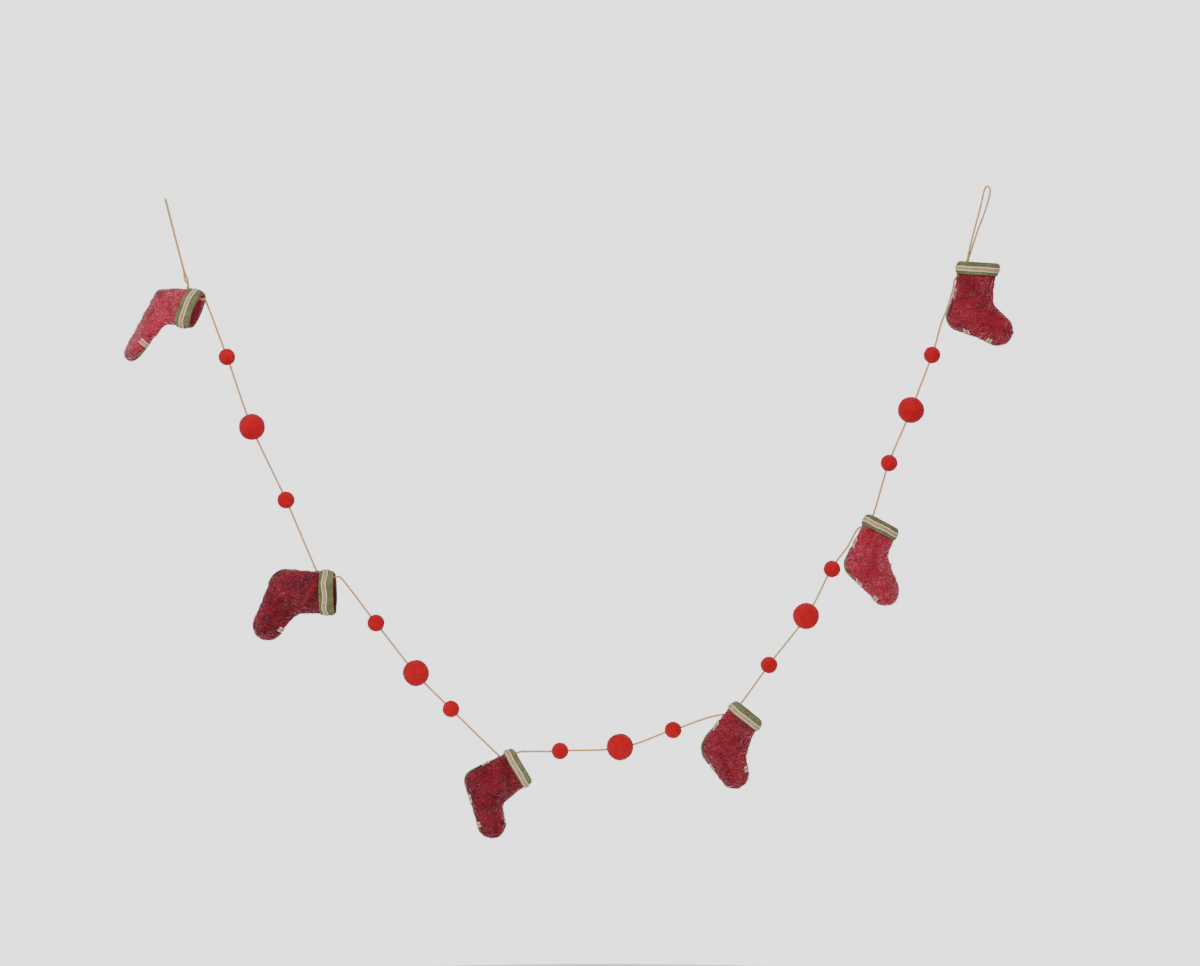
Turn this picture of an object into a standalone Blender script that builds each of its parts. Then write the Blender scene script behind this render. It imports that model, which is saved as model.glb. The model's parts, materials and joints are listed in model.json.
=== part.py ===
"""Felt stocking garland: six hollow felt stockings and fifteen felt balls threaded on a jute string.

The garland hangs in the X-Z plane from a loop at each end of its string. The origin is where the left
loop bears on its hook, and the green heel and toe patches are on the far faces, towards +Y. All tables
are in millimetres and degrees. Each stocking is cut and shaped in a frame of its own, with a across the
mouth from the back seam to the front, b down the leg from the mouth, and c out through the far face.
"""
import math
from collections import namedtuple

import bmesh
import bpy
import numpy as np
from mathutils import Matrix, Vector

MM = 0.001
GAP = 0.3
MERGE = 1e-7

FELT_WALL = 2.5
CUFF_TOP = 1.0
CUFF_FELT = 2.0
RIBBON_WIDTH = 6.2
RIBBON_THICK = 0.9
PATCH_FELT = 1.2
PATCH_TURN_IN = 1.0
PATCH_NARROWEST = 3.0
PATCH_ROOT_IN = 0.04
SEWN_GAP = 1.1
TAB_LENGTH = 5.0
RIBBON_FLAT_STEPS = 5
BAND_STEP = 8.0

STRING_WIDE = 1.8
STRING_BEVEL_STEPS = 2
HOLE_WIDE = 2.5
HOLE_ROUND_STEPS = 12
HOLE_REACH = 5.5
STRAND_APART = 1.25
BORE_WIDE = 2.5
BALL_ROUND_STEPS = 12
BALL_LONG_STEPS = 8
BALL_LUMP = 0.02
BALL_BELTS, BALL_BELT_SHARE = 3, 0.7
BALL_SHARP = 60.0
BALL_LEAD = 1.5
TWIST_APART = 2.2
STRING_OUT = 2.6
STRING_END = 12.0

# Distances in from the edge at which a section has its points, and the shares of the way that they may take
EDGE_STEPS = (0.0, 1.0, 4.0, 11.0)
SECTION_SHARES = (0.0, 0.2, 0.4, 0.7)
PATCH_SHARES = (0.0, 0.2, 0.45, 0.7)
LEG_STEPS, BEND_STEPS, FOOT_STEPS, TOE_STEPS = 3, 4, 3, 6
ABOVE_MOUTH = 30.0
FULLNESS = 2.2

RED = (0.40, 0.012, 0.028)
BALL_RED = (0.60, 0.008, 0.018)
GREEN = (0.15, 0.19, 0.062)
TAN = (0.55, 0.41, 0.27)
JUTE = (0.58, 0.38, 0.20)
FELT_ROUGH, RIBBON_ROUGH, JUTE_ROUGH = 0.95, 0.85, 0.9

# The pattern that each stocking is cut to: the mouth's width, how far the back and the front of the leg
# curve in, and the corners and toe circle, each with its place and its rounding
Pattern = namedtuple("Pattern", "name mouth back_in front_in heel_a heel_b heel_round "
                     "instep_a instep_b instep_round toe_a toe_b toe_round mouth_deep toe_deep")
PATTERNS = [
    Pattern("stocking_1", 45.0, -2.8, 0.0, -7.9, 58.4, 12.0, 28.8, 32.0, 12.0, 71.1, 58.2, 15.0, 23.0, 16.0),
    Pattern("stocking_2", 51.0, 0.0, 0.6, -30.8, 74.0, 20.0, 24.0, 47.0, 14.0, 37.0, 83.5, 18.4, 20.0, 18.0),
    Pattern("stocking_3", 45.5, 0.0, 0.5, -26.5, 69.2, 15.0, 28.0, 45.0, 11.0, 43.5, 69.2, 16.7, 20.0, 17.0),
    Pattern("stocking_4", 41.0, 0.0, 3.0, -20.2, 73.3, 16.0, 31.0, 44.5, 9.0, 33.8, 71.4, 17.3, 20.0, 17.0),
    Pattern("stocking_5", 42.0, 0.0, 0.5, -19.2, 71.6, 16.0, 24.0, 34.5, 14.0, 41.5, 74.2, 16.9, 21.0, 17.0),
    Pattern("stocking_6", 50.0, 3.0, 1.5, -36.0, 78.0, 16.0, 19.8, 48.0, 12.0, 29.5, 81.5, 17.8, 21.0, 18.0),
]

# How each stocking hangs: the middle of its mouth, the turn of its mouth in the plane of the garland, the
# swing that brings its mouth forward, and the twist of its foot
Hang = namedtuple("Hang", "mouth_x mouth_z turn swing twist")
HANGS = {
    "stocking_1": Hang(41.1, -135.8, 111.0, 22.0, 38.0),
    "stocking_2": Hang(207.4, -479.5, 88.5, 11.0, 0.0),
    "stocking_3": Hang(436.2, -689.3, 59.5, -3.0, 0.0),
    "stocking_4": Hang(712.5, -624.0, 38.5, 3.0, 0.0),
    "stocking_5": Hang(876.0, -392.8, 27.5, -3.0, 0.0),
    "stocking_6": Hang(992.5, -76.6, 3.5, 4.0, 0.0),
}

# The height of each cuff and how far down it its ribbon is, where the patches' ribbons cross the back seam,
# the sole and the top of the foot, and the string: how far down its hole is, the hole's slant to the back
# seam, and how far in from that seam and how far back it leaves the mouth
Trim = namedtuple("Trim", "cuff ribbon heel_back heel_sole toe_sole toe_top hole_drop hole_slant "
                  "string_in string_back")
TRIMS = {
    "stocking_1": Trim(17.0, 0.58, 39.0, 15.0, 50.0, 62.5, 21.5, 60.0, 8.0, 10.0),
    "stocking_2": Trim(16.0, 0.62, 36.0, -4.0, 26.6, 44.0, 19.8, 60.0, 6.0, 0.0),
    "stocking_3": Trim(12.5, 0.72, 36.0, 4.7, 34.5, 46.7, 16.8, 60.0, 6.5, 0.0),
    "stocking_4": Trim(12.5, 0.75, 36.0, 8.4, 31.0, 41.4, 20.0, 50.0, 6.5, 0.0),
    "stocking_5": Trim(13.5, 0.45, 36.0, 9.5, 34.0, 44.5, 17.6, 42.0, 6.5, 0.0),
    "stocking_6": Trim(13.5, 0.50, 36.0, -8.2, 17.4, 35.0, 17.8, 42.0, 11.0, 0.0),
}

# Soft hollows pressed into the felt: the face, the middle, the reach and the sink of each
Dent = namedtuple("Dent", "name face a b reach sink")
DENTS = [
    Dent("stocking_1", -1, 4.0, 52.0, 10.0, 1.5),
    Dent("stocking_2", -1, -12.0, 46.0, 12.0, 2.2),
    Dent("stocking_2", -1, 14.0, 62.0, 9.0, 1.2),
    Dent("stocking_3", -1, -8.0, 50.0, 11.0, 2.0),
    Dent("stocking_3", -1, 6.0, 22.0, 10.0, 1.2),
    Dent("stocking_4", -1, 8.0, 52.0, 10.0, 1.4),
    Dent("stocking_5", -1, -8.0, 44.0, 12.0, 1.0),
    Dent("stocking_6", -1, 10.0, 60.0, 10.0, 1.6),
]

# The felt balls in the order that the string meets them
Ball = namedtuple("Ball", "name x z wide")
BALLS = [
    Ball("ball_1a", 75.6, -191.5, 20.5),
    Ball("ball_1b", 106.1, -276.9, 32.0),
    Ball("ball_1c", 147.6, -366.0, 21.0),
    Ball("ball_2a", 257.4, -516.1, 21.0),
    Ball("ball_2b", 306.2, -577.1, 32.0),
    Ball("ball_2c", 348.9, -621.0, 20.5),
    Ball("ball_3a", 481.9, -672.2, 20.5),
    Ball("ball_3b", 555.1, -667.3, 32.5),
    Ball("ball_3c", 619.8, -646.6, 20.5),
    Ball("ball_4a", 736.9, -567.3, 20.5),
    Ball("ball_4b", 782.0, -507.5, 32.0),
    Ball("ball_4c", 813.7, -450.2, 20.5),
    Ball("ball_5a", 883.3, -320.9, 20.5),
    Ball("ball_5b", 910.1, -256.2, 32.0),
    Ball("ball_5c", 935.7, -189.1, 20.5),
]

# The left loop is seen edge on: how far down from its top, and how far forward and back, its strands are
LEFT_LOOP_TOP = (0.5, 0.0, 0.9)
LEFT_TWIST = 12.0
Strand = namedtuple("Strand", "drop apart")
LEFT_LOOP = [
    Strand(86.0, 1.6),
    Strand(40.0, 3.2),
    Strand(6.0, 3.9),
    Strand(1.5, 2.9),
]

# The right loop is seen open: its two strands at each height, and how far apart they are front to back
RIGHT_LOOP_TOP = (1003.2, 0.0, 16.8)
Pair = namedtuple("Pair", "z left_x right_x apart")
RIGHT_LOOP = [
    Pair(-64.0, 980.6, 982.9, 0.7),
    Pair(-40.0, 986.5, 990.6, 0.0),
    Pair(-14.0, 993.6, 1000.4, 0.0),
    Pair(5.0, 997.9, 1005.9, 0.0),
    Pair(13.6, 1000.2, 1006.5, 0.0),
]

# The string's own sag, just after each stocking and just before the next
AFTER = [
    [],
    [(217.8, 0.0, -464.5)],
    [(446.0, 0.0, -672.8)],
    [(708.5, 0.0, -606.5)],
    [],
]
BEFORE = [
    [],
    [],
    [(659.0, 0.0, -632.6)],
    [(833.2, 0.0, -422.4)],
    [(946.6, -3.5, -151.0), (953.2, -6.8, -134.2), (960.6, -7.2, -110.0)],
]


def arc(centre, start, end, steps, way=0):
    """Points on a circle from start to end, the short way round or, if way is -1, by falling angle."""
    first = math.atan2(start.y - centre.y, start.x - centre.x)
    sweep = math.atan2(end.y - centre.y, end.x - centre.x) - first
    sweep = (sweep + math.pi) % (2 * math.pi) - math.pi
    if way < 0 and sweep > 0:
        sweep -= 2 * math.pi
    radius = (start - centre).length
    turns = [first + sweep * step / steps for step in range(steps + 1)]
    return [centre + radius * Vector((math.cos(turn), math.sin(turn))) for turn in turns]


def rounded(before, corner, after, radius, steps):
    """The arc that rounds a corner between two straight edges."""
    one = (before - corner).normalized()
    two = (after - corner).normalized()
    half = one.angle(two) / 2
    centre = corner + (one + two).normalized() * (radius / math.sin(half))
    reach = radius / math.tan(half)
    return arc(centre, corner + one * reach, corner + two * reach, steps)


def touch(point, centre, radius, lower):
    """Where the line from a point touches a circle, on the circle's lower or upper side."""
    away = point - centre
    base = math.atan2(away.y, away.x)
    spread = math.acos(radius / away.length)
    sides = [centre + radius * Vector((math.cos(base + s), math.sin(base + s))) for s in (spread, -spread)]
    return max(sides, key=lambda spot: spot.y) if lower else min(sides, key=lambda spot: spot.y)


def straight(start, end, steps, bow=0.0):
    """Points from start up to, but without, end, bowed to the right of the way by bow."""
    way = end - start
    side = Vector((way.y, -way.x)).normalized()
    parts = [step / steps for step in range(steps)]
    return [start + way * part + side * (bow * math.sin(math.pi * part)) for part in parts]


class Cut:
    """The flat cut of one stocking: its back and front edges in pairs, its toe and its middle line."""

    def __init__(self, pattern, finer=1):
        heel = Vector((pattern.heel_a, pattern.heel_b))
        instep = Vector((pattern.instep_a, pattern.instep_b))
        toe = Vector((pattern.toe_a, pattern.toe_b))
        seam = Vector((-pattern.mouth / 2, 0.0))
        front = Vector((pattern.mouth / 2, 0.0))
        sole_end = touch(heel, toe, pattern.toe_round, True)
        top_end = touch(instep, toe, pattern.toe_round, False)
        heel_arc = rounded(seam, heel, sole_end, pattern.heel_round, BEND_STEPS * finer)
        instep_arc = rounded(front, instep, top_end, pattern.instep_round, BEND_STEPS * finer)
        leg, foot = LEG_STEPS * finer, FOOT_STEPS * finer
        self.back = straight(seam, heel_arc[0], leg, pattern.back_in) + heel_arc[:-1]
        self.back += straight(heel_arc[-1], sole_end, foot) + [sole_end]
        self.front = straight(front, instep_arc[0], leg, -pattern.front_in) + instep_arc[:-1]
        self.front += straight(instep_arc[-1], top_end, foot) + [top_end]
        self.toe = arc(toe, sole_end, top_end, TOE_STEPS * finer, way=-1)
        self.middle = [(one + two) / 2 for one, two in zip(self.back, self.front)]
        self.edge = self.back + self.toe[1:-1] + self.front[::-1]


class Stocking:
    """One stocking's felt surface, as a height over its flat cut, and its place in the garland."""

    def __init__(self, pattern):
        self.name = pattern.name
        self.pattern = pattern
        self.hang = HANGS[pattern.name]
        self.trim = TRIMS[pattern.name]
        self.cut = Cut(pattern)
        fine = Cut(pattern, finer=4)
        above = Vector((0, -ABOVE_MOUTH))
        self.edge = fine.edge
        self.edge_line = np.array([fine.edge[0] + above] + fine.edge + [fine.edge[-1] + above])
        self.middle_line = np.array([fine.middle[0] + above] + fine.middle)
        self.dents = [dent for dent in DENTS if dent.name == pattern.name]
        turn = math.radians(self.hang.turn)
        self.across = Vector((math.cos(turn), 0, -math.sin(turn)))
        self.down = Vector((-math.sin(turn), 0, -math.cos(turn)))
        self.ankle = self.cut.middle[LEG_STEPS + 2]
        self.foot = Vector((pattern.toe_a, pattern.toe_b)) - self.ankle
        foot_way = (self.across * self.foot.x + self.down * self.foot.y).normalized()
        self.swing = Matrix.Rotation(math.radians(self.hang.swing), 3, foot_way)
        self.pivot = self.across * (-pattern.mouth / 2) + self.down * self.trim.hole_drop

    def height(self, spot, face):
        """Half thickness of the stocking over a spot of its flat cut, on the far (1) or near (-1) face."""
        to_edge = nearest(self.edge_line, spot)[0]
        to_middle, along = nearest(self.middle_line, spot)
        part = min(to_middle / (to_middle + to_edge), 1.0)
        deep = self.pattern.mouth_deep + (self.pattern.toe_deep - self.pattern.mouth_deep) * along
        share = math.sqrt(max(1 - part ** FULLNESS, 0))
        rise = deep / 2 * share
        for dent in self.dents:
            if dent.face == face:
                reach = (spot - Vector((dent.a, dent.b))).length / dent.reach
                rise -= dent.sink * math.exp(-reach ** 2) * share
        return rise

    def place(self, a, b, c=0.0):
        """A point of the stocking's frame, put in the garland, in millimetres."""
        spot = self.across * a + self.down * b + Vector((0, c, 0))
        spot = self.pivot + self.swing @ (spot - self.pivot)
        return spot + Vector((self.hang.mouth_x, 0, self.hang.mouth_z))

    def on_face(self, spot, face):
        """The point of the felt's outer surface over a spot of the flat cut."""
        rise = self.height(spot, face) * face
        way = self.foot.normalized()
        side = Vector((-way.y, way.x))
        out, ahead = (spot - self.ankle).dot(side), (spot - self.ankle).dot(way)
        turn = math.radians(self.hang.twist) * min(max(ahead / self.foot.length, 0), 1)
        flat = self.ankle + way * ahead + side * (out * math.cos(turn) - rise * math.sin(turn))
        return self.place(flat.x, flat.y, out * math.sin(turn) + rise * math.cos(turn))

    def crossings(self, measure):
        """The places on the edge, from the back of the mouth round to its front, where a measure is nought."""
        found = []
        for one, two in zip(self.edge, self.edge[1:]):
            before, after = measure(one), measure(two)
            if before * after <= 0 and before != after:
                found.append(one + (two - one) * (before / (before - after)))
        return found

    def chord(self, start, end, offset):
        """Where the line from start to end, moved sideways by offset, crosses the edge."""
        way = (end - start).normalized()
        side = Vector((way.y, -way.x))
        found = self.crossings(lambda spot: (spot - start).dot(side) - offset)
        return [min(found, key=lambda spot: (spot - goal).length) for goal in (start, end)]


def nearest(line, spot):
    """How far a line of points is from a spot, and how far along it that is, from 0 to 1."""
    starts, ways = line[:-1], line[1:] - line[:-1]
    point = np.array(spot)
    parts = np.clip(((point - starts) * ways).sum(1) / (ways ** 2).sum(1), 0, 1)
    places = starts + ways * parts[:, None]
    gaps = np.hypot(*(places - point).T)
    best = int(gaps.argmin())
    return gaps[best], (best + parts[best]) / len(starts)


def inward(edge, root, shares):
    """Spots from the edge towards a root at the standard distances in, closer together on a short way."""
    length = (root - edge).length
    steps = [min(step, length * share) for step, share in zip(EDGE_STEPS, shares)]
    return [edge + (root - edge) * (step / length) for step in steps] + [root]


def half_section(stocking, middle, edge, face):
    """Points of one face from its edge to the middle line."""
    return [stocking.on_face(spot, face) for spot in inward(edge, middle, SECTION_SHARES)]


def ring(stocking, middle, back, front):
    """A closed ring of points: back edge, far face, front edge, near face."""
    points = half_section(stocking, middle, back, 1)[:-1] + half_section(stocking, middle, front, 1)[:0:-1]
    points += half_section(stocking, middle, front, -1)[:-1] + half_section(stocking, middle, back, -1)[:0:-1]
    return points


def weave(mesh, rows, closed=False):
    """Faces between rows of points given in millimetres."""
    knots = [[mesh.verts.new(point * MM) for point in row] for row in rows]
    for one, two in zip(knots, knots[1:]):
        for step in range(len(one) if closed else len(one) - 1):
            after = (step + 1) % len(one)
            mesh.faces.new((one[step], one[after], two[after], two[step]))


def material(name, colour, rough):
    """A plain coloured finish, made once."""
    finish = bpy.data.materials.get(name)
    if finish is None:
        finish = bpy.data.materials.new(name)
        finish.use_nodes = True
        shader = finish.node_tree.nodes["Principled BSDF"]
        shader.inputs["Base Color"].default_value = (*colour, 1)
        shader.inputs["Roughness"].default_value = rough
        shader.inputs["Metallic"].default_value = 0.0
    return finish


def red_felt():
    return material("red_felt", RED, FELT_ROUGH)


def green_felt():
    return material("green_felt", GREEN, FELT_ROUGH)


def tan_ribbon():
    return material("tan_ribbon", TAN, RIBBON_ROUGH)


def put(name, data, finish):
    """An object of its own for a mesh or curve."""
    data.materials.append(finish)
    piece = bpy.data.objects.new(name, data)
    bpy.context.scene.collection.objects.link(piece)
    return piece


def cloth(name, mesh, finish, thick, inside, lift=0.0):
    """A sheet of real thickness: grown inward from its outer face, or outward from a lifted inner face."""
    bmesh.ops.remove_doubles(mesh, verts=mesh.verts, dist=MERGE)
    bmesh.ops.recalc_face_normals(mesh, faces=mesh.faces)
    middle = inside * MM
    outward = [face.normal.dot(face.calc_center_median() - middle) * face.calc_area() for face in mesh.faces]
    if sum(outward) < 0:
        bmesh.ops.reverse_faces(mesh, faces=mesh.faces)
    mesh.normal_update()
    raised = [vert.co + vert.normal * (lift * MM) for vert in mesh.verts]
    for vert, spot in zip(mesh.verts, raised):
        vert.co = spot
    data = bpy.data.meshes.new(name)
    mesh.to_mesh(data)
    mesh.free()
    data.shade_smooth()
    piece = put(name, data, finish)
    shell = piece.modifiers.new("thickness", "SOLIDIFY")
    shell.thickness = thick * MM
    shell.offset = 1 if lift else -1
    return piece


def make_body(stocking):
    """The hollow felt sock, open at the mouth."""
    cut = stocking.cut
    mesh = bmesh.new()
    rings = [ring(stocking, *places) for places in zip(cut.middle, cut.back, cut.front)]
    weave(mesh, rings, closed=True)
    for face in (1, -1):
        weave(mesh, [half_section(stocking, cut.middle[-1], edge, face) for edge in cut.toe])
    middle = cut.middle[LEG_STEPS + 1]
    return cloth(stocking.name + "_body", mesh, red_felt(), FELT_WALL, stocking.place(middle.x, middle.y))


def make_band(stocking, name, top, height, finish, thick, lift):
    """A band round the leg, from top below the mouth."""
    mesh = bmesh.new()
    rows = []
    steps = round(height / BAND_STEP)
    for drop in [top + height * step / steps for step in range(steps + 1)]:
        found = stocking.crossings(lambda spot: spot.y - drop)
        back, front = found[0], found[-1]
        rows.append(ring(stocking, (back + front) / 2, back, front))
    weave(mesh, rows, closed=True)
    return cloth(stocking.name + name, mesh, finish, thick, stocking.place(0, top + height / 2), lift)


def make_patch(stocking, name, start, end):
    """A green felt patch on the far face, from a straight cut out to the edge and a little round it."""
    one, two = stocking.chord(start, end, -RIBBON_WIDTH / 2 - 3 * GAP)
    way = (two - one).normalized()
    side = Vector((-way.y, way.x))
    body_spots = [spot for spot in stocking.cut.edge if (spot - one).dot(side) > PATCH_NARROWEST]
    fine_spots = [spot for spot in stocking.edge if (spot - one).dot(side) > PATCH_NARROWEST]
    rows = []
    for spot in [fine_spots[0]] + body_spots + [fine_spots[-1]]:
        share = (spot - fine_spots[0]).dot(way) / (fine_spots[-1] - fine_spots[0]).dot(way)
        root = one + (two - one) * (PATCH_ROOT_IN + (1 - 2 * PATCH_ROOT_IN) * min(max(share, 0), 1))
        length = (root - spot).length
        turned = stocking.on_face(spot + (root - spot) * (PATCH_TURN_IN / length), -1)
        line = inward(spot, root, PATCH_SHARES)
        rows.append([turned] + [stocking.on_face(place, 1) for place in line])
    mesh = bmesh.new()
    weave(mesh, rows)
    middle = (start + end) / 2
    inside = stocking.place(middle.x, middle.y)
    return cloth(stocking.name + name, mesh, green_felt(), PATCH_FELT, inside, SEWN_GAP)


def make_patch_ribbon(stocking, name, start, end):
    """A ribbon along a patch's cut edge, with both ends wrapped on to the near face as tabs."""
    tab = [(TAB_LENGTH, -1), (TAB_LENGTH / 2, -1), (EDGE_STEPS[1], -1)]
    rim = [(step, 1) for step in EDGE_STEPS]
    rows = []
    for offset in (-RIBBON_WIDTH / 2, RIBBON_WIDTH / 2):
        one, two = stocking.chord(start, end, offset)
        way = (two - one).normalized()
        reach = (two - one).length - 2 * EDGE_STEPS[-1]
        flat = [(EDGE_STEPS[-1] + reach * step / RIBBON_FLAT_STEPS, 1) for step in range(1, RIBBON_FLAT_STEPS)]
        line = [(one + way * step, face) for step, face in tab + rim + flat]
        line += [(two - way * step, face) for step, face in (tab + rim)[::-1]]
        rows.append([stocking.on_face(spot, face) for spot, face in line])
    mesh = bmesh.new()
    weave(mesh, rows)
    middle = (start + end) / 2
    inside = stocking.place(middle.x, middle.y)
    return cloth(stocking.name + name, mesh, tan_ribbon(), RIBBON_THICK, inside, SEWN_GAP)


def make_trims(stocking):
    """The cuff, the heel and toe patches and all their ribbons."""
    trim = stocking.trim
    make_band(stocking, "_cuff", CUFF_TOP, trim.cuff, green_felt(), CUFF_FELT, GAP)
    ribbon_top = CUFF_TOP + (trim.cuff - RIBBON_WIDTH) * trim.ribbon
    make_band(stocking, "_cuff_ribbon", ribbon_top, RIBBON_WIDTH, tan_ribbon(), RIBBON_THICK, 2 * GAP + CUFF_FELT)
    heel_back = stocking.crossings(lambda spot: spot.y - trim.heel_back)[0]
    heel_sole = max(stocking.crossings(lambda spot: spot.x - trim.heel_sole), key=lambda spot: spot.y)
    toe_sole = max(stocking.crossings(lambda spot: spot.x - trim.toe_sole), key=lambda spot: spot.y)
    toe_top = min(stocking.crossings(lambda spot: spot.x - trim.toe_top), key=lambda spot: spot.y)
    make_patch(stocking, "_heel_patch", heel_back, heel_sole)
    make_patch_ribbon(stocking, "_heel_ribbon", heel_back, heel_sole)
    make_patch(stocking, "_toe_patch", toe_sole, toe_top)
    make_patch_ribbon(stocking, "_toe_ribbon", toe_sole, toe_top)


def smooth(points, spans):
    """A Catmull-Rom curve through points, with the given number of steps from each to the next."""
    line = []
    ends = [points[0] * 2 - points[1]] + points + [points[-1] * 2 - points[-2]]
    for step, count in enumerate(spans):
        a, b, c, d = ends[step:step + 4]
        for part in [share / count for share in range(count)]:
            bend = (c - a) * part + (a * 2 - b * 5 + c * 4 - d) * part ** 2 + (b * 3 - a - c * 3 + d) * part ** 3
            line.append(b + bend / 2)
    return line + [points[-1]]


def hole_way(stocking):
    """The string's place and way through a stocking's back seam, from outside to inside."""
    slant = math.radians(stocking.trim.hole_slant)
    edge = -stocking.pattern.mouth / 2 + FELT_WALL / 2
    place = stocking.place(edge, stocking.trim.hole_drop)
    ahead = stocking.place(edge + math.sin(slant), stocking.trim.hole_drop - math.cos(slant))
    return place, ahead - place


def through(stocking):
    """The string's points from just outside a stocking's hole to just outside its mouth."""
    trim = stocking.trim
    place, way = hole_way(stocking)
    inside = -stocking.pattern.mouth / 2 + trim.string_in
    points = [place - way * HOLE_REACH, place + way * HOLE_REACH]
    if trim.string_back:
        points.append(stocking.place(inside, -STRING_OUT))
    return points + [stocking.place(inside, -STRING_OUT, trim.string_back)]


def drill(piece, place, way, wide, across=0.0):
    """A round hole through a piece, or a slot for two strands side by side if across is given."""
    mesh = bmesh.new()
    bmesh.ops.create_cone(mesh, cap_ends=True, segments=HOLE_ROUND_STEPS, radius1=wide / 2 * MM,
                          radius2=wide / 2 * MM, depth=2 * HOLE_REACH * MM)
    for vert in mesh.verts:
        if abs(vert.co.x) > MERGE:
            vert.co.x += math.copysign(across * MM, vert.co.x)
    data = bpy.data.meshes.new(piece.name + "_hole")
    mesh.to_mesh(data)
    mesh.free()
    cutter = put(piece.name + "_hole", data, red_felt())
    side = Vector((0, 1, 0))
    side = (side - way * side.dot(way)).normalized()
    turn = Matrix((side, way.cross(side), way)).transposed()
    cutter.matrix_world = Matrix.Translation(place * MM) @ turn.to_4x4()
    cutter.hide_render = True
    cutter.display_type = "WIRE"
    cut = piece.modifiers.new("string hole", "BOOLEAN")
    cut.object = cutter
    cut.operation = "DIFFERENCE"


def left_loop(stocking):
    """From the string's end inside the first stocking, up, round the left loop and down to its hole again."""
    place, way = hole_way(stocking)
    aside = Vector((0, STRAND_APART, 0))
    top = Vector(LEFT_LOOP_TOP)
    run = (place - top).normalized()
    over = Vector((-run.z, 0, run.x)) * TWIST_APART
    twist = place - run * LEFT_TWIST
    up = [place + way * reach + aside for reach in (STRING_END, HOLE_REACH, -HOLE_REACH)]
    rise = [top + run * row.drop + Vector((0, row.apart, 0)) for row in LEFT_LOOP]
    fall = [top + run * row.drop - Vector((0, row.apart, 0)) for row in LEFT_LOOP[::-1]]
    return up + [twist + over] + rise + [top] + fall + [twist - over], -aside


def right_loop(mouth):
    """From the last stocking's mouth up, round the right loop and back inside."""
    up = [Vector((row.left_x, -row.apart, row.z)) for row in RIGHT_LOOP]
    down = [Vector((row.right_x, row.apart, row.z)) for row in RIGHT_LOOP[::-1]]
    inside = mouth + Vector((STRAND_APART, 2 * STRAND_APART, 0))
    return up + [Vector(RIGHT_LOOP_TOP)] + down + [inside, inside + Vector((0, 0, -STRING_END))]


def route(stockings):
    """The string's points from end to end, and how many steps the curve takes from each to the next."""
    points, aside = left_loop(stockings[0])
    passes = [through(stocking) for stocking in stockings]
    passes[0][:2] = [spot + aside for spot in passes[0][:2]]
    steps = [1] * len(points)
    groups = [BALLS[first:first + 3] for first in range(0, len(BALLS), 3)]
    for index, group in enumerate(groups):
        leave = passes[index] + [Vector(spot) for spot in AFTER[index]]
        reach = [Vector(spot) for spot in BEFORE[index]]
        points += leave
        steps += [1] + [2] * (len(leave) - 2) + [1]
        stops = [leave[-1]] + [Vector((ball.x, 0, ball.z)) for ball in group] + (reach + passes[index + 1])[:1]
        for before, middle, after, ball in zip(stops, stops[1:], stops[2:], group):
            way = (after - before).normalized() * (ball.wide / 2 + BALL_LEAD)
            points += [middle - way, middle + way]
        points += reach
        steps += [1] * 2 * len(group) + [1] * len(reach)
    end = right_loop(passes[-1][-1])
    return points + passes[-1] + end, steps + [1, 2, 1] + [1] * (len(end) - 1)


def make_string(points, steps):
    """The jute string as one round cord along a smooth curve."""
    line = smooth(points, steps)
    data = bpy.data.curves.new("string", "CURVE")
    data.dimensions = "3D"
    data.bevel_depth = STRING_WIDE / 2 * MM
    data.bevel_resolution = STRING_BEVEL_STEPS
    data.use_fill_caps = True
    spline = data.splines.new("POLY")
    spline.points.add(len(line) - 1)
    for knot, spot in zip(spline.points, line):
        knot.co = (*(spot * MM), 1)
    spline.use_smooth = True
    put("string", data, material("jute", JUTE, JUTE_ROUGH))


def make_ball(ball, before, after):
    """A slightly uneven felt ball, drilled through along the string."""
    middle = Vector((ball.x, 0, ball.z))
    way = (after - before).normalized()
    side = way.orthogonal().normalized()
    other = way.cross(side)
    radius = ball.wide / 2
    bore = BORE_WIDE / 2
    start = math.asin(bore / radius)
    lean = BALLS.index(ball)
    rows = []
    for step in range(BALL_LONG_STEPS + 1):
        turn = start + (math.pi - 2 * start) * step / BALL_LONG_STEPS
        row = []
        for count in range(BALL_ROUND_STEPS):
            spin = 2 * math.pi * count / BALL_ROUND_STEPS
            lump = math.sin(2 * spin + lean) * math.sin(turn) ** 2
            lump += BALL_BELT_SHARE * math.sin(BALL_BELTS * turn + 2 * lean)
            out = radius * (1 + BALL_LUMP * lump * math.sin(turn))
            along = -math.cos(turn) * out
            wide = math.sin(turn) * out
            row.append(middle + way * along + (side * math.cos(spin) + other * math.sin(spin)) * wide)
        rows.append(row)
    mesh = bmesh.new()
    weave(mesh, rows + [rows[0]], closed=True)
    bmesh.ops.remove_doubles(mesh, verts=mesh.verts, dist=MERGE)
    bmesh.ops.recalc_face_normals(mesh, faces=mesh.faces)
    data = bpy.data.meshes.new(ball.name)
    mesh.to_mesh(data)
    mesh.free()
    data.shade_smooth()
    data.set_sharp_from_angle(angle=math.radians(BALL_SHARP))
    put(ball.name, data, material("ball_felt", BALL_RED, FELT_ROUGH))


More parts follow.
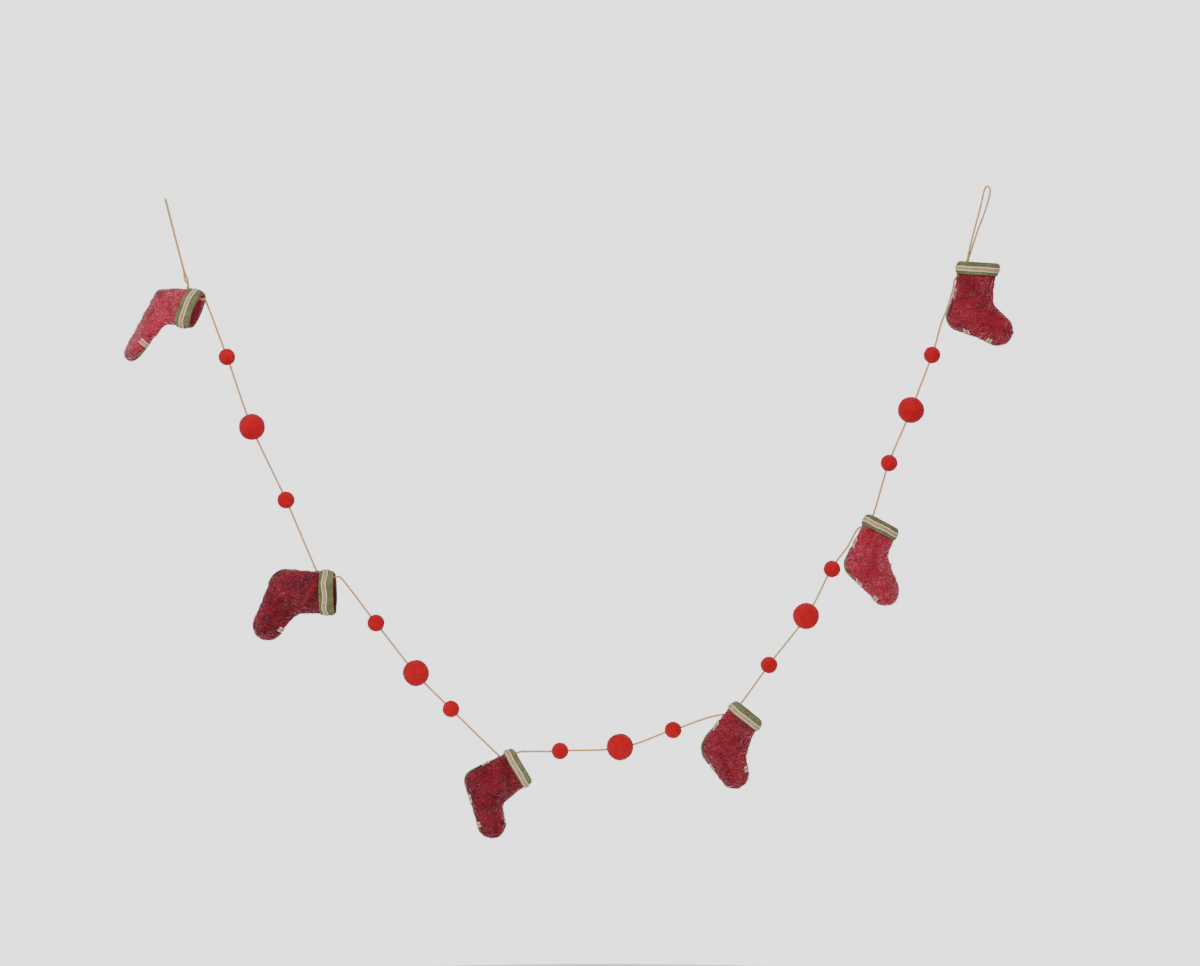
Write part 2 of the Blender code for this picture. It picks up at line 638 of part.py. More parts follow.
def main():
    """Clear the scene and build the garland."""
    for thing in list(bpy.data.objects):
        bpy.data.objects.remove(thing)
    stockings = [Stocking(pattern) for pattern in PATTERNS]
    for stocking in stockings:
        body = make_body(stocking)
        drill(body, *hole_way(stocking), HOLE_WIDE, STRAND_APART if stocking is stockings[0] else 0.0)
        make_trims(stocking)
    points, steps = route(stockings)
    make_string(points, steps)
    for ball in BALLS:
        middle = Vector((ball.x, 0, ball.z))
        near = sorted(points, key=lambda spot: (spot - middle).length)[:2]
        first, second = sorted(near, key=points.index)
        make_ball(ball, first, second)


main()
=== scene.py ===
"""The looks of the felt stocking garland: wool felt, ribbon, felt balls and twisted jute."""

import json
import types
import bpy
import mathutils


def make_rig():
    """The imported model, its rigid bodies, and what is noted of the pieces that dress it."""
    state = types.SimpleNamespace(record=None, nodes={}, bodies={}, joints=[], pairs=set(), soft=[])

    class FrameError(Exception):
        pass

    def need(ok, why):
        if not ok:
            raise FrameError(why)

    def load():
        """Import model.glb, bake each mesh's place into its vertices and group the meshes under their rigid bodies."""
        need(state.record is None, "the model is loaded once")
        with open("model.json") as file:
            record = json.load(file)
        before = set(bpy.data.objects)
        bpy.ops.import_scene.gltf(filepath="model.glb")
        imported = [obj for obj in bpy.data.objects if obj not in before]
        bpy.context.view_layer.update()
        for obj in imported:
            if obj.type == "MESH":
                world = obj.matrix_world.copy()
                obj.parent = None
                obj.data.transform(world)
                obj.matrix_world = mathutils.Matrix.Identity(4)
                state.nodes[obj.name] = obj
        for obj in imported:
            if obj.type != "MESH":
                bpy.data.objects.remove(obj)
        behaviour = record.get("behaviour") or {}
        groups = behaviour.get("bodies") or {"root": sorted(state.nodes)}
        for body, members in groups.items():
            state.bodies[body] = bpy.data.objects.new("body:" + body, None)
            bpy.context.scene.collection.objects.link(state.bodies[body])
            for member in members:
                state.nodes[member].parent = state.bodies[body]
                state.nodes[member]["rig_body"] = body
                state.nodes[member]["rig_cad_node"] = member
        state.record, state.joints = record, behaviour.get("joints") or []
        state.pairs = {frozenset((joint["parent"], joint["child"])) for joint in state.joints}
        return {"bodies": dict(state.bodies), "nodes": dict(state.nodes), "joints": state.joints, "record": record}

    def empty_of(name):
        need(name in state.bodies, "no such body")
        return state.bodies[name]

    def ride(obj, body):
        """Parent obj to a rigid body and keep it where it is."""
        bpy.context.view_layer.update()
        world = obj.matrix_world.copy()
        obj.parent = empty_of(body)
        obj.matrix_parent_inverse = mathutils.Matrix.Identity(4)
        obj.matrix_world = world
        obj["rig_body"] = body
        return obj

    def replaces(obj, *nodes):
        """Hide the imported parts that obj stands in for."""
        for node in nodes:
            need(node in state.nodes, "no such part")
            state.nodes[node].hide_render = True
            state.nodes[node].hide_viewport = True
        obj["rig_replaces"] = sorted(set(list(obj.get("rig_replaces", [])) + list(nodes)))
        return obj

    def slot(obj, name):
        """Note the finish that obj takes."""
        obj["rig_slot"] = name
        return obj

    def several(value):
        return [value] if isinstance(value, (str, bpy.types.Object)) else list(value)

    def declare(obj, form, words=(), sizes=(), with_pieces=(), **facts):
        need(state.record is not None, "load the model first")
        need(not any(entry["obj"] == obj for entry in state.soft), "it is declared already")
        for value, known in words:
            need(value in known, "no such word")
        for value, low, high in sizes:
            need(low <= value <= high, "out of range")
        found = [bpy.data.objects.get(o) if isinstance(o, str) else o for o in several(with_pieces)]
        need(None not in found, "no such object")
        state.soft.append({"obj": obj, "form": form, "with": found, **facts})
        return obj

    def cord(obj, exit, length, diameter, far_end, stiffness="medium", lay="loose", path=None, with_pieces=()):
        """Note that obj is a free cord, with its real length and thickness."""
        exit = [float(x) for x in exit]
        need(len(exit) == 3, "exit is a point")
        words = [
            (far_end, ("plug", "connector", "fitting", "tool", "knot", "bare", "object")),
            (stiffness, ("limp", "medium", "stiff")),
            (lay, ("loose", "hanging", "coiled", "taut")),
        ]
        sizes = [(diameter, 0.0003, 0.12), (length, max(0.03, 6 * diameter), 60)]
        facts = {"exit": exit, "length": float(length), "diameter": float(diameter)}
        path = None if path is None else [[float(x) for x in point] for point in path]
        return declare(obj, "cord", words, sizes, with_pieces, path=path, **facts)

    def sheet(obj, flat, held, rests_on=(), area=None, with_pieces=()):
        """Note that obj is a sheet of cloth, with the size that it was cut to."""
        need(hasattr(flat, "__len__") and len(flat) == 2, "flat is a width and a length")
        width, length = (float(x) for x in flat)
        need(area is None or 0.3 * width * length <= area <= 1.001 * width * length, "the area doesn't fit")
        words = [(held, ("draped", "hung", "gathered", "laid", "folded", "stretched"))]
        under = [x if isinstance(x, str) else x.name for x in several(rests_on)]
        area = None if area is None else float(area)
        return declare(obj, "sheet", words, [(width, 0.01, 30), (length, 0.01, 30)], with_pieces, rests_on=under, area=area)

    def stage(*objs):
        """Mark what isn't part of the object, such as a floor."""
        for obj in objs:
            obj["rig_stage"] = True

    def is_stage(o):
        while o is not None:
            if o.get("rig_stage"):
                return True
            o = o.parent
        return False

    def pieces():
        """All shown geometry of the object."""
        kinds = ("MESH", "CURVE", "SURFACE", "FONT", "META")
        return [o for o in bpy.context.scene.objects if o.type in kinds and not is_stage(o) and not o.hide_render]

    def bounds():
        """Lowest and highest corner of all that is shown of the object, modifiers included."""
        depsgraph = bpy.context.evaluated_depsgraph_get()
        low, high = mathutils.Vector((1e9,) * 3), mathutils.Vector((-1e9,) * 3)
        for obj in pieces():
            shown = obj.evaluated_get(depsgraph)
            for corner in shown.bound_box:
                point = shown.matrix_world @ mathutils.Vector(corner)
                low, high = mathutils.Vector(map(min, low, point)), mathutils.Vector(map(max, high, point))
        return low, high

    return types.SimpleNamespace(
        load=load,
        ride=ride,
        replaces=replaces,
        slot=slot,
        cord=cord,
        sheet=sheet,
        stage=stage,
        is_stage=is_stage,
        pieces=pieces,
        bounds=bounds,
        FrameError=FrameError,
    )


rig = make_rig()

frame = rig.load()

import json
import math
import random
from collections import namedtuple

import bmesh
import bpy
import numpy as np
from mathutils import Matrix, Vector, noise

cad_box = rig.bounds()

# Camera
# The photo looks straight along +Y at the whole garland, from far enough off to show next to no
# perspective. These sizes are metres, and the lens and its sensor are millimetres.
PHOTO_WIDE, PIXEL = 1200, 0.00122
VIEW_X, VIEW_Z, VIEW_AWAY, VIEW_END = 0.5307, -0.3453, 6.0, 30
SENSOR = 36
camera = bpy.data.objects.new("camera", bpy.data.cameras.new("camera"))
camera.location = (VIEW_X, -VIEW_AWAY, VIEW_Z)
camera.rotation_euler = (math.pi / 2, 0, 0)
camera.data.lens = SENSOR * VIEW_AWAY / (PHOTO_WIDE * PIXEL)
camera.data.clip_end = VIEW_END
bpy.context.scene.collection.objects.link(camera)
bpy.context.scene.camera = camera

# The cut and the hang of the stockings
# Each sock is cut from wool felt and joined all round its edge. Its own frame has a across the mouth from
# the back seam to the front, b down the leg and c out through the far face. Sizes are millimetres.

# Each cut: the mouth's width, how far the leg's back and front edges bow in, the heel's, the instep's and
# the toe's corner with the radius that rounds it, and how deep the sock stands at its mouth and its toe.
Pattern = namedtuple("Pattern", "name mouth back_in front_in heel_a heel_b heel_round "
                     "instep_a instep_b instep_round toe_a toe_b toe_round mouth_deep toe_deep")
PATTERNS = [
    Pattern("stocking_1", 45.0, -2.8, 0.0, -7.9, 58.4, 12.0, 28.8, 32.0, 12.0, 71.1, 58.2, 15.0, 23.0, 16.0),
    Pattern("stocking_2", 51.0, 0.0, 0.6, -30.8, 74.0, 20.0, 24.0, 47.0, 14.0, 37.0, 83.5, 18.4, 20.0, 18.0),
    Pattern("stocking_3", 45.5, 0.0, 0.5, -26.5, 69.2, 15.0, 28.0, 45.0, 11.0, 43.5, 69.2, 16.7, 20.0, 17.0),
    Pattern("stocking_4", 41.0, -0.5, 3.0, -22.3, 74.0, 23.0, 31.0, 44.5, 9.0, 33.8, 71.4, 17.3, 20.0, 17.0),
    Pattern("stocking_5", 42.0, 0.0, 0.5, -19.2, 71.6, 16.0, 24.0, 34.5, 14.0, 41.5, 74.2, 16.9, 21.0, 17.0),
    Pattern("stocking_6", 50.0, 3.0, 1.5, -36.0, 78.0, 16.0, 19.8, 48.0, 12.0, 29.5, 81.5, 17.8, 21.0, 18.0),
]
# How each hangs, in degrees: turn tips it in the picture, swing rolls it about the line of its foot, and
# twist rolls its foot further towards the toe.
Hang = namedtuple("Hang", "mouth_x mouth_z turn swing twist")
HANGS = {
    "stocking_1": Hang(41.1, -135.8, 111.0, 22.0, 38.0),
    "stocking_2": Hang(207.4, -479.5, 88.5, 11.0, 0.0),
    "stocking_3": Hang(436.2, -689.3, 59.5, -3.0, 0.0),
    "stocking_4": Hang(712.5, -624.0, 38.5, 3.0, 0.0),
    "stocking_5": Hang(876.0, -392.8, 27.5, -3.0, 0.0),
    "stocking_6": Hang(992.5, -76.6, 3.5, 4.0, 0.0),
}
# Each one's trims: the cuff's height and the ribbon's place on it, from 0 at its top to 1 at its foot. Then
# where the two patches' ribbons cross the edge, where the string's hole is and how it slants from straight
# up, and how far in and back the string lies at the mouth.
Trim = namedtuple("Trim", "cuff ribbon heel_back heel_sole toe_sole toe_top hole_drop hole_slant "
                  "string_in string_back")
TRIMS = {
    "stocking_1": Trim(17.0, 0.47, 39.0, 15.0, 50.0, 62.5, 21.5, 60.0, 8.0, 10.0),
    "stocking_2": Trim(16.0, 0.62, 36.0, -4.0, 26.6, 44.0, 19.8, 60.0, 6.0, 0.0),
    "stocking_3": Trim(12.5, 0.72, 36.0, 4.7, 34.5, 46.7, 16.8, 60.0, 6.5, 0.0),
    "stocking_4": Trim(12.5, 0.75, 36.0, 8.4, 31.0, 41.4, 20.0, 50.0, 6.5, 0.0),
    "stocking_5": Trim(13.5, 0.45, 36.0, 9.5, 34.0, 44.5, 17.6, 42.0, 6.5, 0.0),
    "stocking_6": Trim(13.5, 0.50, 36.0, -8.2, 17.4, 35.0, 17.8, 42.0, 11.0, 0.0),
}
# A dent's face is 1 far or -1 near, its sink is how deep it is, and one with a negative sink stands proud.
Dent = namedtuple("Dent", "name face a b reach sink")
DENTS = [
    Dent("stocking_1", -1, 12.0, 30.0, 8.0, 2.6),
    Dent("stocking_1", -1, 26.0, 45.0, 7.0, 2.0),
    Dent("stocking_1", -1, 6.0, 48.0, 8.0, -1.6),
    Dent("stocking_2", -1, -12.0, 46.0, 11.0, 3.0),
    Dent("stocking_2", -1, 14.0, 62.0, 9.0, 1.2),
    Dent("stocking_3", -1, -8.0, 50.0, 11.0, 2.8),
    Dent("stocking_3", -1, 6.0, 22.0, 10.0, 1.2),
    Dent("stocking_4", -1, 8.0, 52.0, 10.0, 1.4),
    Dent("stocking_5", -1, -8.0, 44.0, 12.0, 1.0),
    Dent("stocking_6", -1, 10.0, 60.0, 10.0, 1.6),
]
FULLNESS = 2.2
FINER = 5
ABOVE_MOUTH = 30.0
COARSE_LEG, COARSE_BEND, COARSE_FOOT, COARSE_TOE = 3, 4, 3, 6


def arc(centre, start, end, steps, way=0):
    """Points on a circle from start to end, the short way round or, if way is -1, by falling angle."""
    first = math.atan2(start.y - centre.y, start.x - centre.x)
    sweep = math.atan2(end.y - centre.y, end.x - centre.x) - first
    sweep = (sweep + math.pi) % (2 * math.pi) - math.pi
    if way < 0 and sweep > 0:
        sweep -= 2 * math.pi
    radius = (start - centre).length
    turns = [first + sweep * step / steps for step in range(steps + 1)]
    return [centre + radius * Vector((math.cos(turn), math.sin(turn))) for turn in turns]


def rounded(before, corner, after, radius, steps):
    """The arc that rounds a corner between two straight edges."""
    one = (before - corner).normalized()
    two = (after - corner).normalized()
    half = one.angle(two) / 2
    centre = corner + (one + two).normalized() * (radius / math.sin(half))
    reach = radius / math.tan(half)
    return arc(centre, corner + one * reach, corner + two * reach, steps)


def touch(point, centre, radius, lower):
    """Where the line from a point touches a circle, on the circle's lower or upper side."""
    away = point - centre
    base = math.atan2(away.y, away.x)
    spread = math.acos(radius / away.length)
    sides = [centre + radius * Vector((math.cos(base + s), math.sin(base + s))) for s in (spread, -spread)]
    return max(sides, key=lambda spot: spot.y) if lower else min(sides, key=lambda spot: spot.y)


def straight(start, end, steps, bow=0.0):
    """Points from start up to, but without, end, bowed to the right of the way by bow."""
    way = end - start
    side = Vector((way.y, -way.x)).normalized()
    parts = [step / steps for step in range(steps)]
    return [start + way * part + side * (bow * math.sin(math.pi * part)) for part in parts]


class Cut:
    """The flat cut of one stocking: its back and front edges in pairs, its toe and its middle line."""

    def __init__(self, pattern, finer=1):
        heel = Vector((pattern.heel_a, pattern.heel_b))
        instep = Vector((pattern.instep_a, pattern.instep_b))
        toe = Vector((pattern.toe_a, pattern.toe_b))
        seam = Vector((-pattern.mouth / 2, 0.0))
        front = Vector((pattern.mouth / 2, 0.0))
        sole_end = touch(heel, toe, pattern.toe_round, True)
        top_end = touch(instep, toe, pattern.toe_round, False)
        bend, leg, foot = COARSE_BEND * finer, COARSE_LEG * finer, COARSE_FOOT * finer
        heel_arc = rounded(seam, heel, sole_end, pattern.heel_round, bend)
        instep_arc = rounded(front, instep, top_end, pattern.instep_round, bend)
        self.back = straight(seam, heel_arc[0], leg, pattern.back_in) + heel_arc[:-1]
        self.back += straight(heel_arc[-1], sole_end, foot) + [sole_end]
        self.front = straight(front, instep_arc[0], leg, -pattern.front_in) + instep_arc[:-1]
        self.front += straight(instep_arc[-1], top_end, foot) + [top_end]
        self.toe = arc(toe, sole_end, top_end, COARSE_TOE * finer, way=-1)
        self.middle = [(one + two) / 2 for one, two in zip(self.back, self.front)]
        self.edge = self.back + self.toe[1:-1] + self.front[::-1]


def nearest(line, spots):
    """For each spot, how far a line of points is and how far along it that is, from 0 to 1."""
    starts, ways = line[:-1], line[1:] - line[:-1]
    away = spots[:, None, :] - starts[None]
    parts = np.clip((away * ways).sum(2) / (ways ** 2).sum(1), 0, 1)
    places = starts + ways * parts[..., None]
    gaps = np.linalg.norm(spots[:, None, :] - places, axis=2)
    best = gaps.argmin(1)
    row = np.arange(len(spots))
    return gaps[row, best], (best + parts[row, best]) / len(starts)


class Stocking:
    """One stocking's felt surface, as a height over its flat cut, and its place in the garland."""

    def __init__(self, pattern):
        self.name = pattern.name
        self.pattern = pattern
        self.hang = HANGS[pattern.name]
        self.trim = TRIMS[pattern.name]
        self.cut = Cut(pattern)
        fine = Cut(pattern, finer=FINER)
        self.fine = fine
        above = np.array((0.0, -ABOVE_MOUTH))
        edge, middle = np.array(fine.edge), np.array(fine.middle)
        self.edge_line = np.vstack((edge[0] + above, edge, edge[-1] + above))
        self.middle_line = np.vstack((middle[0] + above, middle))
        self.dents = [dent for dent in DENTS if dent.name == pattern.name]
        turn = math.radians(self.hang.turn)
        self.across = Vector((math.cos(turn), 0, -math.sin(turn)))
        self.down = Vector((-math.sin(turn), 0, -math.cos(turn)))
        self.ankle = self.cut.middle[COARSE_LEG + 2]
        self.foot = Vector((pattern.toe_a, pattern.toe_b)) - self.ankle
        foot_way = (self.across * self.foot.x + self.down * self.foot.y).normalized()
        self.swing = Matrix.Rotation(math.radians(self.hang.swing), 3, foot_way)
        self.pivot = self.across * (-pattern.mouth / 2) + self.down * self.trim.hole_drop

    def place(self, a, b, c=0.0):
        """A point of the stocking's frame, put in the garland, in millimetres."""
        spot = self.across * a + self.down * b + Vector((0, c, 0))
        spot = self.pivot + self.swing @ (spot - self.pivot)
        return spot + Vector((self.hang.mouth_x, 0, self.hang.mouth_z))

    def unplace(self, point):
        """The stocking's own (a, b, c) of a point of the garland."""
        spot = point - Vector((self.hang.mouth_x, 0, self.hang.mouth_z))
        spot = self.pivot + self.swing.transposed() @ (spot - self.pivot)
        return Vector((spot.dot(self.across), spot.dot(self.down), spot.y))

    def on_face(self, spots, faces):
        """The outer surface's points over spots of the flat cut, on the far (1) or the near (-1) face."""
        spots = np.array([tuple(spot) for spot in spots])
        faces = np.array(faces) * np.ones(len(spots))
        to_edge = nearest(self.edge_line, spots)[0]
        to_middle, along = nearest(self.middle_line, spots)
        part = np.clip(to_middle / (to_middle + to_edge + 1e-9), 0, 1)
        deep = self.pattern.mouth_deep + (self.pattern.toe_deep - self.pattern.mouth_deep) * along
        share = np.sqrt(np.clip(1 - part ** FULLNESS, 0, 1))
        rise = deep / 2 * share
        for dent in self.dents:
            reach = np.linalg.norm(spots - np.array((dent.a, dent.b)), axis=1) / dent.reach
            rise -= dent.sink * np.exp(-reach ** 2) * share * (faces == dent.face)
        rise *= faces
        way = np.array(self.foot.normalized())
        side = np.array((-way[1], way[0]))
        away = spots - np.array(self.ankle)
        out, ahead = away @ side, away @ way
        turn = math.radians(self.hang.twist) * np.clip(ahead / self.foot.length, 0, 1)
        flat = np.array(self.ankle) + np.outer(ahead, way)
        flat += np.outer(out * np.cos(turn) - rise * np.sin(turn), side)
        lift = out * np.sin(turn) + rise * np.cos(turn)
        return [self.place(a, b, c) for a, b, c in zip(flat[:, 0], flat[:, 1], lift)]

    def crossings(self, measure):
        """Where on the edge a measure is nought, from the back of the mouth round to its front."""
        found = []
        for one, two in zip(self.fine.edge, self.fine.edge[1:]):
            before, after = measure(one), measure(two)
            if before * after <= 0 and before != after:
                found.append(one + (two - one) * (before / (before - after)))
        return found

    def leg_edges(self, drop):
        """The back and front edges of the leg at a drop below the mouth, or above it if drop is negative."""
        if drop <= 0:
            above = Vector((0, drop))
            return self.fine.edge[0] + above, self.fine.edge[-1] + above
        found = self.crossings(lambda spot: spot.y - drop)
        return found[0], found[-1]

    def chord(self, start, end, offset):
        """Where the line from start to end, moved sideways by offset, crosses the edge."""
        way = (end - start).normalized()
        side = Vector((way.y, -way.x))
        found = self.crossings(lambda spot: (spot - start).dot(side) - offset)
        return [min(found, key=lambda spot: (spot - goal).length) for goal in (start, end)]


stockings = [Stocking(pattern) for pattern in PATTERNS]

# Jute string
# One length of two-ply twisted jute, doubled back at each end as a hanging loop. It goes in through each
# stocking's back seam, out of its mouth and through each ball. One millimetre is MM metres.
MM = 0.001
PLY_OUT = 0.50
PLY_RADIUS = 0.95
PLY_TURN = 5.2
PLY_SIDES = 7
PLY_SWELL = 0.12
ROUTE_STEPS = 4
STRING_STEP = 0.8
STRING_HAIRS = 2600
HAIR_WIDE = 0.045
PATH_EVERY = 3
FELT_WALL = 2.5
HOLE_REACH = 5.5
STRAND_APART = 1.25
TWIST_APART = 1.6
STRING_OUT = 2.6
STRING_END = 12.0
BALL_LEAD = 1.5
LEFT_TWIST = 12.0
Ball = namedtuple("Ball", "name x z wide")
BALLS = [
    Ball("ball_1a", 75.6, -191.5, 20.5),
    Ball("ball_1b", 106.1, -276.9, 32.0),
    Ball("ball_1c", 147.6, -366.0, 21.0),
    Ball("ball_2a", 257.4, -516.1, 21.0),
    Ball("ball_2b", 306.2, -577.1, 32.0),
    Ball("ball_2c", 348.9, -621.0, 20.5),
    Ball("ball_3a", 481.9, -672.2, 20.5),
    Ball("ball_3b", 555.1, -667.3, 32.5),
    Ball("ball_3c", 619.8, -646.6, 20.5),
    Ball("ball_4a", 736.9, -567.3, 20.5),
    Ball("ball_4b", 782.0, -507.5, 32.0),
    Ball("ball_4c", 813.7, -450.2, 20.5),
    Ball("ball_5a", 883.3, -320.9, 20.5),
    Ball("ball_5b", 910.1, -256.2, 32.0),
    Ball("ball_5c", 935.7, -189.1, 20.5),
]
# Each loop's two strands at some places down it, and how far each is from the middle, nearer or further off.
LEFT_LOOP_TOP = (0.5, 0.0, 0.9)
Strand = namedtuple("Strand", "drop apart")
LEFT_LOOP = [
    Strand(86.0, 1.6),
    Strand(40.0, 3.2),
    Strand(6.0, 3.9),
    Strand(1.5, 2.9),
]
RIGHT_LOOP_TOP = (1003.2, 0.0, 16.8)
Pair = namedtuple("Pair", "z left_x right_x apart")
RIGHT_LOOP = [
    Pair(-64.0, 980.6, 982.9, 0.7),
    Pair(-40.0, 986.5, 990.6, 0.0),
    Pair(-14.0, 993.6, 1000.4, 0.0),
    Pair(5.0, 997.9, 1005.9, 0.0),
    Pair(13.6, 1000.2, 1006.5, 0.0),
]
# Where the string bends after each stocking's mouth, and before the back seam of the next one.
AFTER = [
    [],
    [(217.8, 0.0, -464.5)],
    [(446.0, 0.0, -672.8)],
    [(708.5, 0.0, -606.5)],
    [],
]
BEFORE = [
    [],
    [],
    [(659.0, 0.0, -632.6)],
    [(833.2, 0.0, -422.4)],
    [(946.6, -3.5, -151.0), (953.2, -6.8, -134.2), (960.6, -7.2, -110.0)],
]


class Tone:
    """A shader socket: sums on it add Math nodes, and node() adds any other kind of node beside it."""

    def __init__(self, tree, socket=None):
        self.tree = tree
        self.socket = socket

    def node(self, kind, settings=(), sockets=(), give=0):
        """A node with its settings, then the values or links of its sockets; gives one of its outputs."""
        made = self.tree.nodes.new(kind)
        for key, value in dict(settings).items():
            setattr(made, key, value)
        for key, value in dict(sockets).items():
            if isinstance(value, Tone):
                self.tree.links.new(value.socket, made.inputs[key])
            else:
                made.inputs[key].default_value = value
        return Tone(self.tree, made.outputs[give])

    def sum(self, operation, one, two):
        return self.node("ShaderNodeMath", {"operation": operation}, {0: one, 1: two})

    def __add__(self, other):
        return self.sum("ADD", self, other)

    def __radd__(self, other):
        return self.sum("ADD", other, self)

    def __sub__(self, other):
        return self.sum("SUBTRACT", self, other)

    def __rsub__(self, other):
        return self.sum("SUBTRACT", other, self)

    def __mul__(self, other):
        return self.sum("MULTIPLY", self, other)

    def __rmul__(self, other):
        return self.sum("MULTIPLY", other, self)

    def __abs__(self):
        return self.node("ShaderNodeMath", {"operation": "ABSOLUTE"}, {0: self})

    def step(self, low, high):
        """This value run smoothly from 0 at low to 1 at high."""
        sockets = {0: self, 1: low, 2: high}
        return self.node("ShaderNodeMapRange", {"interpolation_type": "SMOOTHSTEP"}, sockets)

    def mix(self, one, two):
        """Colour one where this value is 0 and colour two where it is 1."""
        colours = [(*c, 1) if isinstance(c, tuple) else c for c in (one, two)]
        return self.node("ShaderNodeMix", {"data_type": "RGBA"}, {0: self, 6: colours[0], 7: colours[1]}, 2)

    def grain(self, size, detail=3.0, rough=0.6, swirl=0.0, stretch=(1, 1, 1), turn=(0, 0, 0)):
        """Wool-like noise with grains of a size in millimetres, drawn out by stretch after a turn."""
        place = self.node("ShaderNodeTexCoord", give="Object")
        place = self.node("ShaderNodeMapping", {}, {"Vector": place, "Rotation": turn, "Scale": stretch})
        sockets = {"Vector": place, "Scale": 1 / (size * MM), "Detail": detail, "Roughness": rough}
        return self.node("ShaderNodeTexNoise", {}, {**sockets, "Distortion": swirl})

    def relief(self, depth):
        """Bumps of a depth in millimetres, for a shader's Normal."""
        return self.node("ShaderNodeBump", {}, {"Strength": 1.0, "Distance": depth * MM, "Height": self})


def finish(name):
    """A new material: its shader, and a Tone to build its nodes with."""
    made = bpy.data.materials.new(name)
    made.use_nodes = True
    return made, made.node_tree.nodes["Principled BSDF"], Tone(made.node_tree)


def paint(shader, name, tone):
    """Links a tone to one of a shader's sockets."""
    tone.tree.links.new(tone.socket, shader.inputs[name])


def add_piece(name, mesh, material):
    """An object for a mesh made in millimetres, riding on the garland."""
    data = bpy.data.meshes.new(name)
    bmesh.ops.scale(mesh, vec=(MM, MM, MM), verts=mesh.verts)
    mesh.to_mesh(data)
    mesh.free()
    data.materials.append(material)
    data.shade_smooth()
    piece = bpy.data.objects.new(name, data)
    bpy.context.scene.collection.objects.link(piece)
    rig.ride(piece, "root")
    return piece


def add_hair(mesh, root, way, side, length, wide, pale=0.5):
    """One fibre, as a bent sliver whose paleness goes into its "pale" attribute."""
    middle = root + way * (length * 0.5)
    tip = root + way * length + side * (length * 0.3)
    flat = way.cross(side).normalized() * wide
    layer = mesh.verts.layers.float["pale"]
    knots = [mesh.verts.new(spot) for spot in (root, middle + flat, middle - flat, tip)]
    for knot in knots:
        knot[layer] = pale
    mesh.faces.new((knots[0], knots[1], knots[2]))
    mesh.faces.new((knots[2], knots[1], knots[3]))


def smooth(points, spans):
    """A Catmull-Rom curve through points, with the given number of steps from each to the next."""
    line = []
    ends = [points[0] * 2 - points[1]] + points + [points[-1] * 2 - points[-2]]
    for step, count in enumerate(spans):
        a, b, c, d = ends[step:step + 4]
        for part in [share / count for share in range(count)]:
            square = a * 2 - b * 5 + c * 4 - d
            cube = b * 3 - a - c * 3 + d
            line.append(b + ((c - a) * part + square * part ** 2 + cube * part ** 3) / 2)
    return line + [points[-1]]


def hole_way(stocking):
    """The string's place and way through a stocking's back seam, from outside to inside."""
    slant = math.radians(stocking.trim.hole_slant)
    edge = -stocking.pattern.mouth / 2 + FELT_WALL / 2
    place = stocking.place(edge, stocking.trim.hole_drop)
    ahead = stocking.place(edge + math.sin(slant), stocking.trim.hole_drop - math.cos(slant))
    return place, ahead - place


def through(stocking):
    """The string's points from just outside a stocking's hole to just outside its mouth."""
    trim = stocking.trim
    place, way = hole_way(stocking)
    inside = -stocking.pattern.mouth / 2 + trim.string_in
    points = [place - way * HOLE_REACH, place + way * HOLE_REACH]
    if trim.string_back:
        points.append(stocking.place(inside, -STRING_OUT))
    return points + [stocking.place(inside, -STRING_OUT, trim.string_back)]


def left_loop(stocking):
    """From the string's end inside the first stocking, up, round the left loop and down to its hole again."""
    place, way = hole_way(stocking)
    aside = Vector((0, STRAND_APART, 0))
    top = Vector(LEFT_LOOP_TOP)
    run = (place - top).normalized()
    over = Vector((-run.z, 0, run.x)) * TWIST_APART
    twist = place - run * LEFT_TWIST
    up = [place + way * reach + aside for reach in (STRING_END, HOLE_REACH, -HOLE_REACH)]
    rise = [top + run * row.drop + Vector((0, row.apart, 0)) for row in LEFT_LOOP]
    fall = [top + run * row.drop - Vector((0, row.apart, 0)) for row in LEFT_LOOP[::-1]]
    return up + [twist + over] + rise + [top] + fall + [twist - over], -aside


def right_loop(mouth):
    """From the last stocking's mouth up, round the right loop and back inside."""
    up = [Vector((row.left_x, -row.apart, row.z)) for row in RIGHT_LOOP]
    down = [Vector((row.right_x, row.apart, row.z)) for row in RIGHT_LOOP[::-1]]
    inside = mouth + Vector((STRAND_APART, 2 * STRAND_APART, 0))
    return up + [Vector(RIGHT_LOOP_TOP)] + down + [inside, inside + Vector((0, 0, -STRING_END))]


def route():
    """The string's points from end to end, and the way of the string through each ball."""
    points, aside = left_loop(stockings[0])
    passes = [through(stocking) for stocking in stockings]
    passes[0][:2] = [spot + aside for spot in passes[0][:2]]
    groups = [BALLS[first:first + 3] for first in range(0, len(BALLS), 3)]
    ways = []
    for index, group in enumerate(groups):
        leave = passes[index] + [Vector(spot) for spot in AFTER[index]]
        reach = [Vector(spot) for spot in BEFORE[index]]
        points += leave
        stops = [leave[-1]] + [Vector((ball.x, 0, ball.z)) for ball in group]
        stops += (reach + passes[index + 1])[:1]
        for before, middle, after, ball in zip(stops, stops[1:], stops[2:], group):
            ways.append((after - before).normalized())
            reach_out = ways[-1] * (ball.wide / 2 + BALL_LEAD)
            points += [middle - reach_out, middle + reach_out]
        points += reach
    return points + passes[-1] + right_loop(passes[-1][-1]), ways


def evenly(line, gap):
    """Points along a line at an even gap."""
    spots = [line[0]]
    left = gap
    for one, two in zip(line, line[1:]):
        length = (two - one).length
        while left <= length:
            spots.append(one + (two - one) * (left / length))
            left += gap
        left -= length
    return spots


